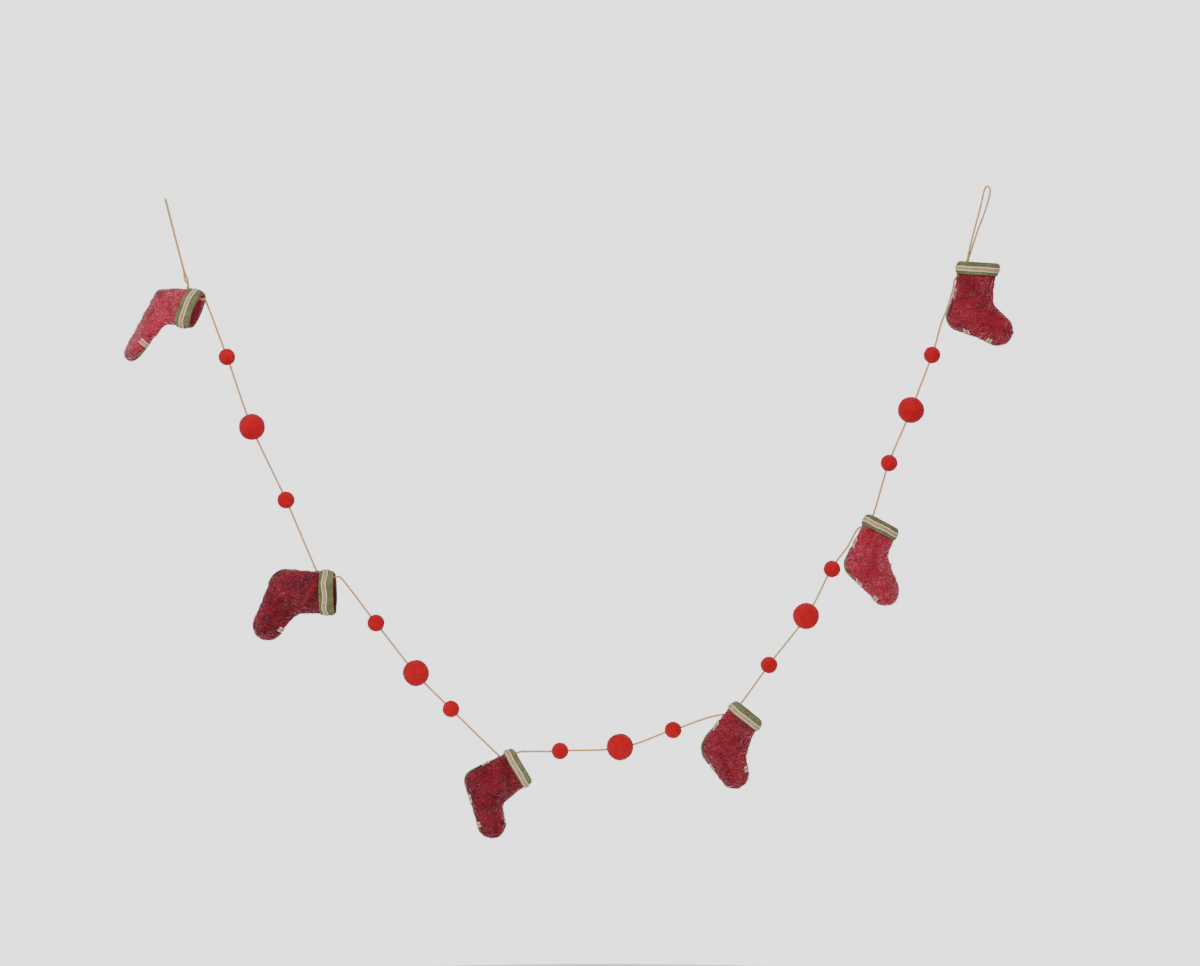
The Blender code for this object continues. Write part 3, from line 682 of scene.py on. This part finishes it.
string_points, ball_ways = route()
string_line = smooth(string_points, [ROUTE_STEPS] * (len(string_points) - 1))
string_line = evenly(string_line, STRING_STEP)
string_length = STRING_STEP * (len(string_line) - 1)

JUTE_DARK = (0.50, 0.24, 0.055)
JUTE_GOLD = (0.80, 0.46, 0.135)
JUTE_LIGHT = (0.88, 0.62, 0.27)
jute, jute_shader, tone = finish("jute")
shade = tone.grain(1.6, 4.0, 0.7, 0.5)
fibre = tone.grain(0.5, 2.0, 0.6, 0.0)
jute_colour = shade.step(0.35, 0.68).mix(JUTE_DARK, JUTE_GOLD)
jute_colour = (fibre.step(0.55, 0.75) * 0.6).mix(jute_colour, JUTE_LIGHT)
paint(jute_shader, "Base Color", jute_colour)
paint(jute_shader, "Normal", fibre.relief(0.25))
jute_shader.inputs["Roughness"].default_value = 0.85
jute_shader.inputs["Sheen Weight"].default_value = 0.2

draw = random.Random(4)
mesh = bmesh.new()
mesh.verts.layers.float.new("pale")
normal = Vector((0, 1, 0))
frames = []
befores, afters = string_line[:1] + string_line, string_line[1:] + string_line[-1:]
for before, spot, after in zip(befores, string_line, afters):
    way = (after - before).normalized()
    normal = (normal - way * normal.dot(way)).normalized()
    frames.append((spot, way, normal, way.cross(normal)))
for half in (0, 1):
    rings = []
    for step, (spot, way, one, two) in enumerate(frames):
        turn = 2 * math.pi * (step * STRING_STEP / PLY_TURN + half / 2)
        swell = 1 + PLY_SWELL * noise.noise(Vector((step * 0.11, 7.0 * half, 0)))
        centre = spot + (one * math.cos(turn) + two * math.sin(turn)) * PLY_OUT
        ring = []
        for side in range(PLY_SIDES):
            spin = 2 * math.pi * side / PLY_SIDES + turn
            out = one * math.cos(spin) + two * math.sin(spin)
            ring.append(mesh.verts.new(centre + out * (PLY_RADIUS * swell)))
        rings.append(ring)
    for one, two in zip(rings, rings[1:]):
        for side in range(PLY_SIDES):
            after = (side + 1) % PLY_SIDES
            mesh.faces.new((one[side], one[after], two[after], two[side]))
    mesh.faces.new(rings[0][::-1])
    mesh.faces.new(rings[-1])
for hair in range(STRING_HAIRS):
    spot, way, one, two = frames[draw.randrange(len(frames))]
    spin = draw.uniform(0, 2 * math.pi)
    out = one * math.cos(spin) + two * math.sin(spin)
    lean = (out * draw.uniform(0.4, 1.0) + way * draw.uniform(-1, 1)).normalized()
    add_hair(mesh, spot + out * PLY_RADIUS, lean, out.cross(way), draw.uniform(0.9, 2.2), HAIR_WIDE)
string = add_piece("jute_string", mesh, jute)
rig.replaces(string, "string")
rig.slot(string, "jute")
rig.cord(string, exit=tuple(string_line[0] * MM), length=round(string_length * MM, 3),
        diameter=2 * (PLY_OUT + PLY_RADIUS) * MM, far_end="object", stiffness="limp", lay="taut",
        path=[tuple(spot * MM) for spot in string_line[::PATH_EVERY]])

# Stocking bodies
# Thick heathered wool felt in crimson, with pale wool brushed through it. Front and back are felted
# together round the edge, and the mouth is open. Each sock's felt has its own brightness and share of pale
# wool, partly its own batch of wool and partly painted light and shade.
RED_MID = (0.335, 0.0065, 0.024)
RED_PALE = (0.64, 0.21, 0.27)
RED_DEEP = (0.135, 0.0035, 0.011)
RED_HAIR = (0.84, 0.43, 0.50)
SECTION_STEPS = 15
PANEL_LENGTH = 110.0
CUT_SHARE = 0.7
BODY_CORNER = 4.5
BODY_LUMPS = [(11.0, 0.9), (4.2, 0.6), (2.2, 0.35)]
SAME_SPOT = 0.001


def felt(name, mid, pale, deep, hairs, heather, patchy):
    """Brushed wool felt: a mid colour with pale and deeper patches, and the colour of its palest hairs."""
    made, shader, tone = finish(name)
    fine = tone.grain(1.3, 4.0, 0.75, 0.8)
    lean_one = tone.grain(3.4, 4.0, 0.75, 1.6, (1, 1, 3.6), (0, 0.6, 0))
    lean_two = tone.grain(3.0, 4.0, 0.75, 1.8, (1, 1, 3.8), (0, -0.9, 0))
    cloud = tone.grain(17.0, 3.0, 0.6, 0.4)
    brushed = tone.grain(24.0, 3.0, 0.6, 0.8)
    wool = (lean_one.step(0.52, 0.64) + lean_two.step(0.54, 0.66)) * fine.step(0.32, 0.55)
    wool = wool * (brushed.step(0.35, 0.65) * 0.8 + 0.35) * heather
    # The cloud's deep patches are partly uneven dye and partly painted shade, standing in for shade in the felt's
    # folds.
    colour = (cloud.step(0.36, 0.62) * patchy + (1 - patchy)).mix(deep, mid)
    colour = (fine.step(0.36, 0.56) * 0.7 + 0.3).mix(deep, colour)
    colour = wool.mix(colour, pale)
    hair = tone.node("ShaderNodeAttribute", {"attribute_name": "pale"}, give="Fac")
    colour = hair.mix(colour, hairs)
    paint(shader, "Base Color", colour)
    paint(shader, "Normal", (fine * 0.6 + lean_one * 0.25 + lean_two * 0.25).relief(1.1))
    shader.inputs["Roughness"].default_value = 0.95
    shader.inputs["Sheen Weight"].default_value = 0.1
    shader.inputs["Specular IOR Level"].default_value = 0.1
    return made


def weave(mesh, rows, closed=False):
    """Faces between rows of points."""
    knots = [[mesh.verts.new(point) for point in row] for row in rows]
    for one, two in zip(knots, knots[1:]):
        for step in range(len(one) if closed else len(one) - 1):
            after = (step + 1) % len(one)
            mesh.faces.new((one[step], one[after], two[after], two[step]))


def inward(edge, root, steps, crowd=1.7):
    """Spots from the edge to a root, closer together near the edge."""
    return [edge + (root - edge) * (step / steps) ** crowd for step in range(steps + 1)]


def ring(stocking, back, front, steps):
    """A closed ring of surface points: back edge, far face, front edge, near face."""
    middle = (back + front) / 2
    one, two = inward(back, middle, steps), inward(front, middle, steps)
    spots = one[:-1] + two[:0:-1] + two[:-1] + one[:0:-1]
    faces = [1] * (2 * steps) + [-1] * (2 * steps)
    return stocking.on_face(spots, faces)


def settle(mesh, inside, lift, lumps, seed):
    """Joins a cloth's faces, turns them outward, lifts it off what is under it and gives it lumps, each a
    size across and a depth. Gives the cloth's area."""
    bmesh.ops.remove_doubles(mesh, verts=mesh.verts, dist=SAME_SPOT)
    bmesh.ops.recalc_face_normals(mesh, faces=mesh.faces)
    outward = [face.normal.dot(face.calc_center_median() - inside) * face.calc_area() for face in mesh.faces]
    if sum(outward) < 0:
        bmesh.ops.reverse_faces(mesh, faces=mesh.faces)
    mesh.normal_update()
    moved = []
    for vert in mesh.verts:
        rise = lift
        for size, depth in lumps:
            rise += depth * noise.noise(vert.co / size + Vector((seed, 0, 0)))
        moved.append(vert.co + vert.normal * rise)
    for vert, spot in zip(mesh.verts, moved):
        vert.co = spot
    mesh.normal_update()
    return sum(face.calc_area() for face in mesh.faces)


def thicken(piece, thick, outward):
    """Gives a cloth its thickness, applied to its mesh."""
    shell = piece.modifiers.new("thickness", "SOLIDIFY")
    shell.thickness = thick * MM
    shell.offset = 1 if outward else -1
    deps = bpy.context.evaluated_depsgraph_get()
    piece.data = bpy.data.meshes.new_from_object(piece.evaluated_get(deps))
    piece.modifiers.clear()
    piece.data.shade_smooth()


def round_corners(mesh, stocking, beyond, corners):
    """Rounds off a cloth's corners as seen from the front, where it reaches beyond the cut. Each corner is
    its height, 1 at a mouth or -1 at a foot, and its radius."""
    spots = {vert: stocking.unplace(vert.co) for vert in mesh.verts}
    half = stocking.pattern.mouth / 2 + beyond
    for end, inner in ((-half, 1), (half, -1)):
        for level, down, radius in corners:
            centre = Vector((end + inner * radius, level + down * radius))
            for vert, spot in spots.items():
                away = Vector((spot.x, spot.y)) - centre
                if away.x * inner < 0 and away.y * down < 0 and away.length > radius:
                    near = centre + away * (radius / away.length)
                    vert.co = stocking.place(near.x, near.y, spot.z)


# A lot of loose fibres: how many, how long and wide, and how far from least to most they stand up from
# the cloth and are pale.
Fibres = namedtuple("Fibres", "count length wide rise pale")


def fuzz(mesh, lots, draw, share=1.0):
    """A mesh of loose fibres that grow from a surface, with the given share of each lot's count."""
    mesh.faces.ensure_lookup_table()
    areas = [face.calc_area() for face in mesh.faces]
    hairs = bmesh.new()
    hairs.verts.layers.float.new("pale")
    for lot in lots:
        for face in draw.choices(list(mesh.faces), weights=areas, k=int(lot.count * share)):
            parts = [draw.random() for vert in face.verts]
            spot = sum((vert.co * part for vert, part in zip(face.verts, parts)), Vector()) / sum(parts)
            loose = Vector((draw.uniform(-1, 1), draw.uniform(-1, 1), draw.uniform(-1, 1)))
            flat = (loose - face.normal * loose.dot(face.normal)).normalized()
            way = (face.normal * draw.uniform(*lot.rise) + flat).normalized()
            side = face.normal.cross(way).normalized()
            length, pale = lot.length * draw.uniform(0.5, 1.3), draw.uniform(*lot.pale)
            add_hair(hairs, spot + face.normal * lot.wide, way, side, length, lot.wide, pale)
    return hairs


def cut_size(area, length):
    """The rectangle that a shape of this area and length is cut from, and its own flat area, in metres."""
    return {"flat": (round(area / length / CUT_SHARE * MM, 4), length * MM), "area": round(area * 1e-6, 6)}


RED_FIBRES = [
    Fibres(2600, 1.8, 0.06, (0.3, 0.9), (0.0, 0.5)),
    Fibres(4200, 3.6, 0.14, (0.0, 0.1), (0.1, 0.8)),
    Fibres(1900, 5.2, 0.22, (0.0, 0.06), (0.5, 1.0)),
    Fibres(500, 6.0, 0.36, (0.0, 0.05), (0.8, 1.0)),
]
# Each sock's felt: its brightness and how much pale wool is brushed in, each partly its own batch of wool
# and partly painted light and shade, then how strong its deep patches are, partly uneven dye and partly
# painted shade.
Wool = namedtuple("Wool", "bright heather patchy")
WOOLS_AND_LIGHT = {
    "stocking_1": Wool(1.55, 1.2, 0.9),
    "stocking_2": Wool(0.66, 0.3, 0.9),
    "stocking_3": Wool(0.64, 0.3, 0.85),
    "stocking_4": Wool(0.77, 0.45, 0.5),
    "stocking_5": Wool(1.22, 0.8, 0.45),
    "stocking_6": Wool(0.93, 0.45, 0.75),
}
draw = random.Random(11)
for number, stocking in enumerate(stockings, 1):
    wool = WOOLS_AND_LIGHT[stocking.name]
    # The mid and deep reds are scaled by this sock's brightness, which is partly painted light and shade.
    mid, deep = [tuple(part * wool.bright for part in colour) for colour in (RED_MID, RED_DEEP)]
    red_felt = felt(stocking.name + "_red_wool", mid, RED_PALE, deep, RED_HAIR, wool.heather, wool.patchy)
    cut = stocking.fine
    mesh = bmesh.new()
    pairs = zip(cut.back, cut.front)
    weave(mesh, [ring(stocking, back, front, SECTION_STEPS) for back, front in pairs], closed=True)
    for face in (1, -1):
        rows = [inward(edge, cut.middle[-1], SECTION_STEPS) for edge in cut.toe]
        weave(mesh, [stocking.on_face(row, [face] * len(row)) for row in rows])
    middle = stocking.cut.middle[COARSE_LEG + 1]
    area = settle(mesh, stocking.place(*middle), 0.0, BODY_LUMPS, number * 5.0)
    round_corners(mesh, stocking, 0.0, [(0.0, 1, BODY_CORNER)])
    hairs = fuzz(mesh, RED_FIBRES, draw, 0.6 + 0.4 * wool.heather)
    piece = add_piece(stocking.name + "_felt", mesh, red_felt)
    thicken(piece, FELT_WALL, False)
    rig.replaces(piece, stocking.name + "_body")
    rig.slot(piece, "red_felt")
    loose = add_piece(stocking.name + "_fibres", hairs, red_felt)
    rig.slot(loose, "red_felt")
    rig.sheet(piece, held="hung", rests_on=["jute_string"], with_pieces=[loose],
             **cut_size(area, PANEL_LENGTH))

# Cuffs
# A band of moss-green wool felt sewn round each mouth. Its edges are cut plain and left raw, and its
# corners are a little rounded where it folds over at the back and the front.
GREEN_MID = (0.165, 0.175, 0.075)
GREEN_PALE = (0.40, 0.42, 0.26)
GREEN_DEEP = (0.070, 0.080, 0.028)
GREEN_HAIR = (0.55, 0.56, 0.38)
CUFF_TOP = -0.7
CUFF_FOOT = 1.0
CUFF_ROWS = 16
TOP_CORNER, FOOT_CORNER = 6.0, 2.2
CUFF_FELT = 2.1
CUFF_LIFT = 0.15
CUFF_LUMPS = [(9.0, 0.5), (3.0, 0.3)]


def lifted(mesh, rise):
    """A copy of a mesh moved out along its normals."""
    copy = mesh.copy()
    for vert, source in zip(copy.verts, mesh.verts):
        vert.co = source.co + source.normal * rise
    return copy


GREEN_FIBRES = [
    Fibres(350, 1.4, 0.06, (0.3, 0.9), (0.0, 0.5)),
    Fibres(450, 3.0, 0.13, (0.0, 0.1), (0.0, 0.8)),
]
green_felt = felt("green_wool_felt", GREEN_MID, GREEN_PALE, GREEN_DEEP, GREEN_HAIR, 0.6, 0.5)
for number, stocking in enumerate(stockings, 1):
    trim = stocking.trim
    mesh = bmesh.new()
    height = trim.cuff + CUFF_FOOT - CUFF_TOP
    turns = [math.pi * row / CUFF_ROWS for row in range(CUFF_ROWS + 1)]
    drops = [CUFF_TOP + height * (1 - math.cos(turn)) / 2 for turn in turns]
    weave(mesh, [ring(stocking, *stocking.leg_edges(drop), SECTION_STEPS) for drop in drops], closed=True)
    area = settle(mesh, stocking.place(0, trim.cuff / 2), CUFF_LIFT, CUFF_LUMPS, number * 3.0)
    corners = [(CUFF_TOP, 1, TOP_CORNER), (trim.cuff + CUFF_FOOT, -1, FOOT_CORNER)]
    outer = lifted(mesh, CUFF_FELT)
    round_corners(outer, stocking, CUFF_FELT, corners)
    hairs = fuzz(outer, GREEN_FIBRES, draw)
    piece = add_piece(stocking.name + "_cuff_felt", mesh, green_felt)
    thicken(piece, CUFF_FELT, True)
    cloth = bmesh.new()
    cloth.from_mesh(piece.data)
    bmesh.ops.scale(cloth, vec=(1 / MM, 1 / MM, 1 / MM), verts=cloth.verts)
    round_corners(cloth, stocking, CUFF_FELT, corners)
    bmesh.ops.scale(cloth, vec=(MM, MM, MM), verts=cloth.verts)
    cloth.to_mesh(piece.data)
    cloth.free()
    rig.replaces(piece, stocking.name + "_cuff")
    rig.slot(piece, "green_felt")
    loose = add_piece(stocking.name + "_cuff_fibres", hairs, green_felt)
    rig.slot(loose, "green_felt")
    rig.sheet(piece, flat=(round(area / height * MM, 4), round(height * MM, 4)), held="hung",
             rests_on=[stocking.name + "_felt"], with_pieces=[loose])

# Cuff ribbons
# Tan woven ribbon with cream edges, sewn round each cuff by hand, so it waves a little. On the fourth and
# the fifth stocking its ends overlap on the near face.
RIBBON_WIDTH = 6.2
RIBBON_THICK = 0.75
RIBBON_LIFT = 0.15
RIBBON_LUMPS = [(8.0, 0.35), (2.5, 0.15)]
CUFF_RIBBON_TOP = 1.0
TAN = (0.50, 0.30, 0.165)
TAN_DEEP = (0.30, 0.17, 0.085)
CREAM = (0.80, 0.66, 0.46)
SEAM = (0.20, 0.14, 0.075)

tan_ribbon, ribbon_shader, tone = finish("tan_ribbon")
across = tone.node("ShaderNodeAttribute", {"attribute_name": "across"}, give="Fac")
thread = tone.grain(0.7, 2.0, 0.6, 0.2)
tint = tone.grain(5.0, 3.0, 0.6, 0.5)
ribbon_colour = (tint.step(0.35, 0.65) * 0.7 + thread.step(0.4, 0.6) * 0.3).mix(TAN_DEEP, TAN)
from_middle = abs(across - 0.5) + (tint - 0.5) * 0.1
ribbon_colour = from_middle.step(0.29, 0.33).mix(ribbon_colour, CREAM)
ribbon_colour = from_middle.step(0.44, 0.5).mix(ribbon_colour, SEAM)
paint(ribbon_shader, "Base Color", ribbon_colour)
paint(ribbon_shader, "Normal", thread.relief(0.3))
ribbon_shader.inputs["Roughness"].default_value = 0.8
ribbon_shader.inputs["Sheen Weight"].default_value = 0.15


def ribbon_piece(name, strips, inside, node, seed):
    """A ribbon from strips of (rows of surface points across it, lift), each thickened and worn a little."""
    whole = bmesh.new()
    for rows, lift in strips:
        mesh = bmesh.new()
        layer = mesh.verts.layers.float.new("across")
        knots = []
        for number, row in enumerate(rows):
            knots.append([mesh.verts.new(point) for point in row])
            for knot in knots[-1]:
                knot[layer] = number / (len(rows) - 1)
        for one, two in zip(knots, knots[1:]):
            for step in range(len(one) - 1):
                mesh.faces.new((one[step], one[step + 1], two[step + 1], two[step]))
        settle(mesh, inside, lift, RIBBON_LUMPS, seed)
        strip = bpy.data.meshes.new("strip")
        mesh.to_mesh(strip)
        mesh.free()
        whole.from_mesh(strip)
    piece = add_piece(name, whole, tan_ribbon)
    thicken(piece, RIBBON_THICK, True)
    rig.replaces(piece, node)
    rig.slot(piece, "tan_ribbon")


# How far each cuff's ribbon waves up and down, and where across the near face its ends start to overlap.
Wave = namedtuple("Wave", "rise joint")
WAVES = {
    "stocking_1": Wave(0.3, None),
    "stocking_2": Wave(0.8, None),
    "stocking_3": Wave(0.3, None),
    "stocking_4": Wave(0.3, 2.0),
    "stocking_5": Wave(0.4, 1.2),
    "stocking_6": Wave(0.2, None),
}
RIBBON_ROWS = 6
OVERLAP, OVERLAP_STEPS = 5.0, 5
WAVE_STEP = 0.55
for number, stocking in enumerate(stockings, 1):
    trim, wave = stocking.trim, WAVES[stocking.name]
    top = CUFF_RIBBON_TOP + (trim.cuff - RIBBON_WIDTH) * trim.ribbon
    rows, ends = [], []
    for row in range(RIBBON_ROWS + 1):
        drop = top + RIBBON_WIDTH * row / RIBBON_ROWS
        points = ring(stocking, *stocking.leg_edges(drop), SECTION_STEPS)
        waves = [wave.rise * math.sin(step * WAVE_STEP) for step in range(len(points))]
        points = [spot + stocking.down * rise for spot, rise in zip(points, waves)]
        rows.append(points + points[:1])
        if wave.joint is not None:
            steps = range(OVERLAP_STEPS + 1)
            spots = [Vector((wave.joint + OVERLAP * step / OVERLAP_STEPS, drop)) for step in steps]
            ends.append(stocking.on_face(spots, [-1] * len(spots)))
    strips = [(rows, CUFF_FELT + RIBBON_LIFT)]
    if ends:
        strips.append((ends, CUFF_FELT + RIBBON_LIFT + RIBBON_THICK))
    ribbon_piece(stocking.name + "_cuff_tape", strips, stocking.place(0, top), stocking.name + "_cuff_ribbon",
                 number * 2.0)

# Heel and toe patches
# Green felt sewn on the far face over the heel and the toe. Its outer edge is turned round the sock's edge
# on to the near face by the lengths below, or stops short of it where the length is negative.
PATCH_FELT = 1.2
PATCH_LIFT = 0.25
PATCH_LUMPS = [(8.0, 0.6), (3.0, 0.3)]
PATCH_NARROWEST = 3.0
PATCH_UNDER = 0.5
PATCH_STEPS = 9
END_SHARE = 0.02
Turn = namedtuple("Turn", "heel toe")
TURNS = {
    "stocking_1": Turn(0.6, -2.5),
    "stocking_2": Turn(0.8, -1.2),
    "stocking_3": Turn(1.2, -1.2),
    "stocking_4": Turn(1.5, -1.2),
    "stocking_5": Turn(1.3, -1.2),
    "stocking_6": Turn(1.3, -1.0),
}


def patch_ends(stocking):
    """Where the heel's and the toe's ribbons meet the edge, as pairs of spots."""
    trim = stocking.trim
    heel_back = stocking.crossings(lambda spot: spot.y - trim.heel_back)[0]
    heel_sole = max(stocking.crossings(lambda spot: spot.x - trim.heel_sole), key=lambda spot: spot.y)
    toe_sole = max(stocking.crossings(lambda spot: spot.x - trim.toe_sole), key=lambda spot: spot.y)
    toe_top = min(stocking.crossings(lambda spot: spot.x - trim.toe_top), key=lambda spot: spot.y)
    return {"heel": (heel_back, heel_sole), "toe": (toe_sole, toe_top)}


for number, stocking in enumerate(stockings, 1):
    for part, (start, end) in patch_ends(stocking).items():
        one, two = stocking.chord(start, end, -RIBBON_WIDTH / 2 + PATCH_UNDER)
        way = (two - one).normalized()
        side = Vector((-way.y, way.x))
        spots = [spot for spot in stocking.fine.edge if (spot - one).dot(side) > PATCH_NARROWEST]
        rows = []
        for spot in spots:
            share = (spot - spots[0]).dot(way) / (spots[-1] - spots[0]).dot(way)
            root = one + (two - one) * (END_SHARE + (1 - 2 * END_SHARE) * min(max(share, 0), 1))
            reach = getattr(TURNS[stocking.name], part)
            turned = spot + (root - spot) * (abs(reach) / (root - spot).length)
            line = inward(spot if reach > 0 else turned, root, PATCH_STEPS)
            near = [turned] if reach > 0 else []
            rows.append(stocking.on_face(near + line, [-1] * len(near) + [1] * len(line)))
        mesh = bmesh.new()
        weave(mesh, rows)
        inside = stocking.place(*((start + end) / 2))
        area = settle(mesh, inside, PATCH_LIFT, PATCH_LUMPS, number * 4.0)
        piece = add_piece(stocking.name + "_" + part + "_felt", mesh, green_felt)
        thicken(piece, PATCH_FELT, True)
        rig.replaces(piece, stocking.name + "_" + part + "_patch")
        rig.slot(piece, "green_felt")
        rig.sheet(piece, held="hung", rests_on=[stocking.name + "_felt"],
                 **cut_size(area, round((two - one).length, 1)))

# Heel and toe ribbons
# The same tan ribbon along each patch's straight edge. Its ends are wrapped on to the near face by the
# lengths below, or stop short of the edge where the length is negative.
Tabs = namedtuple("Tabs", "heel_back heel_sole toe_sole toe_top")
TABS = {
    "stocking_1": Tabs(0.4, -1.5, -1.5, 5.6),
    "stocking_2": Tabs(-1.0, -1.0, 1.4, 4.2),
    "stocking_3": Tabs(2.4, 3.8, 4.0, 1.6),
    "stocking_4": Tabs(5.0, 3.2, -1.0, 4.6),
    "stocking_5": Tabs(5.0, 4.4, 4.6, 1.0),
    "stocking_6": Tabs(5.2, 6.0, 5.4, 0.8),
}
TAB_STEPS, FLAT_STEPS = 6, 28
TAPE_LIFT = 0.35


def tab_end(tab):
    """The spots of one end of a ribbon, as (distance from the edge, face), from its cut end to the edge."""
    if tab <= 0:
        return []
    return [(tab * (1 - step / TAB_STEPS), -1) for step in range(TAB_STEPS)]


for number, stocking in enumerate(stockings, 1):
    for part, (start, end) in patch_ends(stocking).items():
        tabs = TABS[stocking.name]
        first, last = (tabs.heel_back, tabs.heel_sole) if part == "heel" else (tabs.toe_sole, tabs.toe_top)
        rows = []
        for row in range(RIBBON_ROWS):
            one, two = stocking.chord(start, end, RIBBON_WIDTH * (row / (RIBBON_ROWS - 1) - 0.5))
            way = (two - one).normalized()
            low, high = max(-first, 0), (two - one).length - max(-last, 0)
            turns = [math.pi * step / FLAT_STEPS for step in range(FLAT_STEPS + 1)]
            shares = [0.5 * (1 - math.cos(turn)) for turn in turns]
            line = [(one + way * reach, face) for reach, face in tab_end(first)]
            line += [(one + way * (low + (high - low) * share), 1) for share in shares]
            line += [(two - way * reach, face) for reach, face in tab_end(last)[::-1]]
            rows.append(stocking.on_face([spot for spot, face in line], [face for spot, face in line]))
        inside = stocking.place(*((start + end) / 2))
        ribbon_piece(stocking.name + "_" + part + "_tape", [(rows, TAPE_LIFT)], inside,
                     stocking.name + "_" + part + "_ribbon", number * 6.0)

# Felt balls
# Bright red wool rolled wet into hard balls, small, big, small in each group. Each is drilled through,
# threaded on the string and held where it is by friction.
BALL_MID = (0.54, 0.003, 0.012)
BALL_PALE = (0.72, 0.06, 0.07)
BALL_DEEP = (0.34, 0.002, 0.006)
BORE_WIDE = 3.0
BALL_STEPS, BALL_SIDES = 32, 48
BALL_LUMP, BALL_DIMPLE = 0.035, 0.012
# The counts are for a ball of 1 mm radius, and grow with its surface.
BALL_FIBRES = [
    Fibres(2.4, 1.5, 0.05, (0.3, 0.9), (0.0, 0.3)),
    Fibres(2.4, 2.6, 0.09, (0.0, 0.1), (0.0, 0.5)),
]
ball_felt = felt("ball_wool_felt", BALL_MID, BALL_PALE, BALL_DEEP, BALL_PALE, 0.22, 0.4)
draw = random.Random(23)
for number, (ball, way) in enumerate(zip(BALLS, ball_ways)):
    middle = Vector((ball.x, 0, ball.z))
    side = way.orthogonal().normalized()
    other = way.cross(side)
    radius = ball.wide / 2
    start = math.asin(BORE_WIDE / 2 / radius)
    mesh = bmesh.new()
    rows = []
    for step in range(BALL_STEPS + 1):
        turn = start + (math.pi - 2 * start) * step / BALL_STEPS
        row = []
        for count in range(BALL_SIDES):
            spin = 2 * math.pi * count / BALL_SIDES
            out = -way * math.cos(turn) + (side * math.cos(spin) + other * math.sin(spin)) * math.sin(turn)
            lump = BALL_LUMP * noise.noise(out * 1.3 + Vector((number * 3.1, 0, 0)))
            lump += BALL_DIMPLE * noise.noise(out * 4.0 + Vector((0, number * 3.1, 0)))
            row.append(middle + out * (radius * (1 + lump * math.sin(turn))))
        rows.append(row)
    weave(mesh, rows + rows[:1], closed=True)
    bmesh.ops.remove_doubles(mesh, verts=mesh.verts, dist=SAME_SPOT)
    bmesh.ops.recalc_face_normals(mesh, faces=mesh.faces)
    mesh.normal_update()
    hairs = fuzz(mesh, BALL_FIBRES, draw, radius ** 2)
    piece = add_piece(ball.name + "_felt", mesh, ball_felt)
    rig.replaces(piece, ball.name)
    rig.slot(piece, "ball_felt")
    loose = add_piece(ball.name + "_fibres", hairs, ball_felt)
    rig.slot(loose, "ball_felt")

# Studio
# A plain pale floor below the garland, a white surround and two large soft lights. The camera sees the
# surround brighter than it lights the wool. These sizes are metres.
FLOOR_Z, FLOOR_WIDE, FLOOR_SIDES = -1.02, 1.8, 96
FLOOR_WHITE, FLOOR_GLOW = 0.94, 0.3
mesh = bmesh.new()
rim = []
for step in range(FLOOR_SIDES):
    turn = 2 * math.pi * step / FLOOR_SIDES
    spot = (VIEW_X + FLOOR_WIDE / 2 * math.cos(turn), FLOOR_WIDE / 2 * math.sin(turn), FLOOR_Z)
    rim.append(mesh.verts.new(spot))
mesh.faces.new(rim)
data = bpy.data.meshes.new("floor")
mesh.to_mesh(data)
mesh.free()
floor_finish, floor_shader, tone = finish("pale_floor")
floor_shader.inputs["Base Color"].default_value = (FLOOR_WHITE, FLOOR_WHITE, FLOOR_WHITE, 1)
floor_shader.inputs["Roughness"].default_value = 0.9
floor_shader.inputs["Emission Color"].default_value = (1, 1, 1, 1)
floor_shader.inputs["Emission Strength"].default_value = FLOOR_GLOW
data.materials.append(floor_finish)
floor = bpy.data.objects.new("floor", data)
bpy.context.scene.collection.objects.link(floor)
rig.stage(floor)

world = bpy.data.worlds.new("white_surround")
world.use_nodes = True
LIT, SEEN = 0.62, 2.4
shell = Tone(world.node_tree)
seen = shell.node("ShaderNodeLightPath", give="Is Camera Ray")
background = world.node_tree.nodes["Background"]
background.inputs["Color"].default_value = (1, 1, 1, 1)
paint(background, "Strength", seen * (SEEN - LIT) + LIT)
bpy.context.scene.world = world

Lamp = namedtuple("Lamp", "name place wide power")
LAMPS = [
    Lamp("key", (-0.8, -2.6, 1.6), 1.2, 88.0),
    Lamp("fill", (2.2, -2.8, 0.4), 1.8, 24.0),
]
for lamp in LAMPS:
    light = bpy.data.lights.new(lamp.name, "AREA")
    light.size = lamp.wide
    light.energy = lamp.power
    holder = bpy.data.objects.new(lamp.name, light)
    holder.location = lamp.place
    way = Vector((VIEW_X, 0, VIEW_Z)) - Vector(lamp.place)
    holder.rotation_euler = way.to_track_quat("-Z", "Y").to_euler()
    bpy.context.scene.collection.objects.link(holder)

# The table of sizes: the CAD box, then the dressed model's box.
with open("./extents.json", "w") as sizes:
    json.dump([[list(corner) for corner in box] for box in (cad_box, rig.bounds())], sizes)
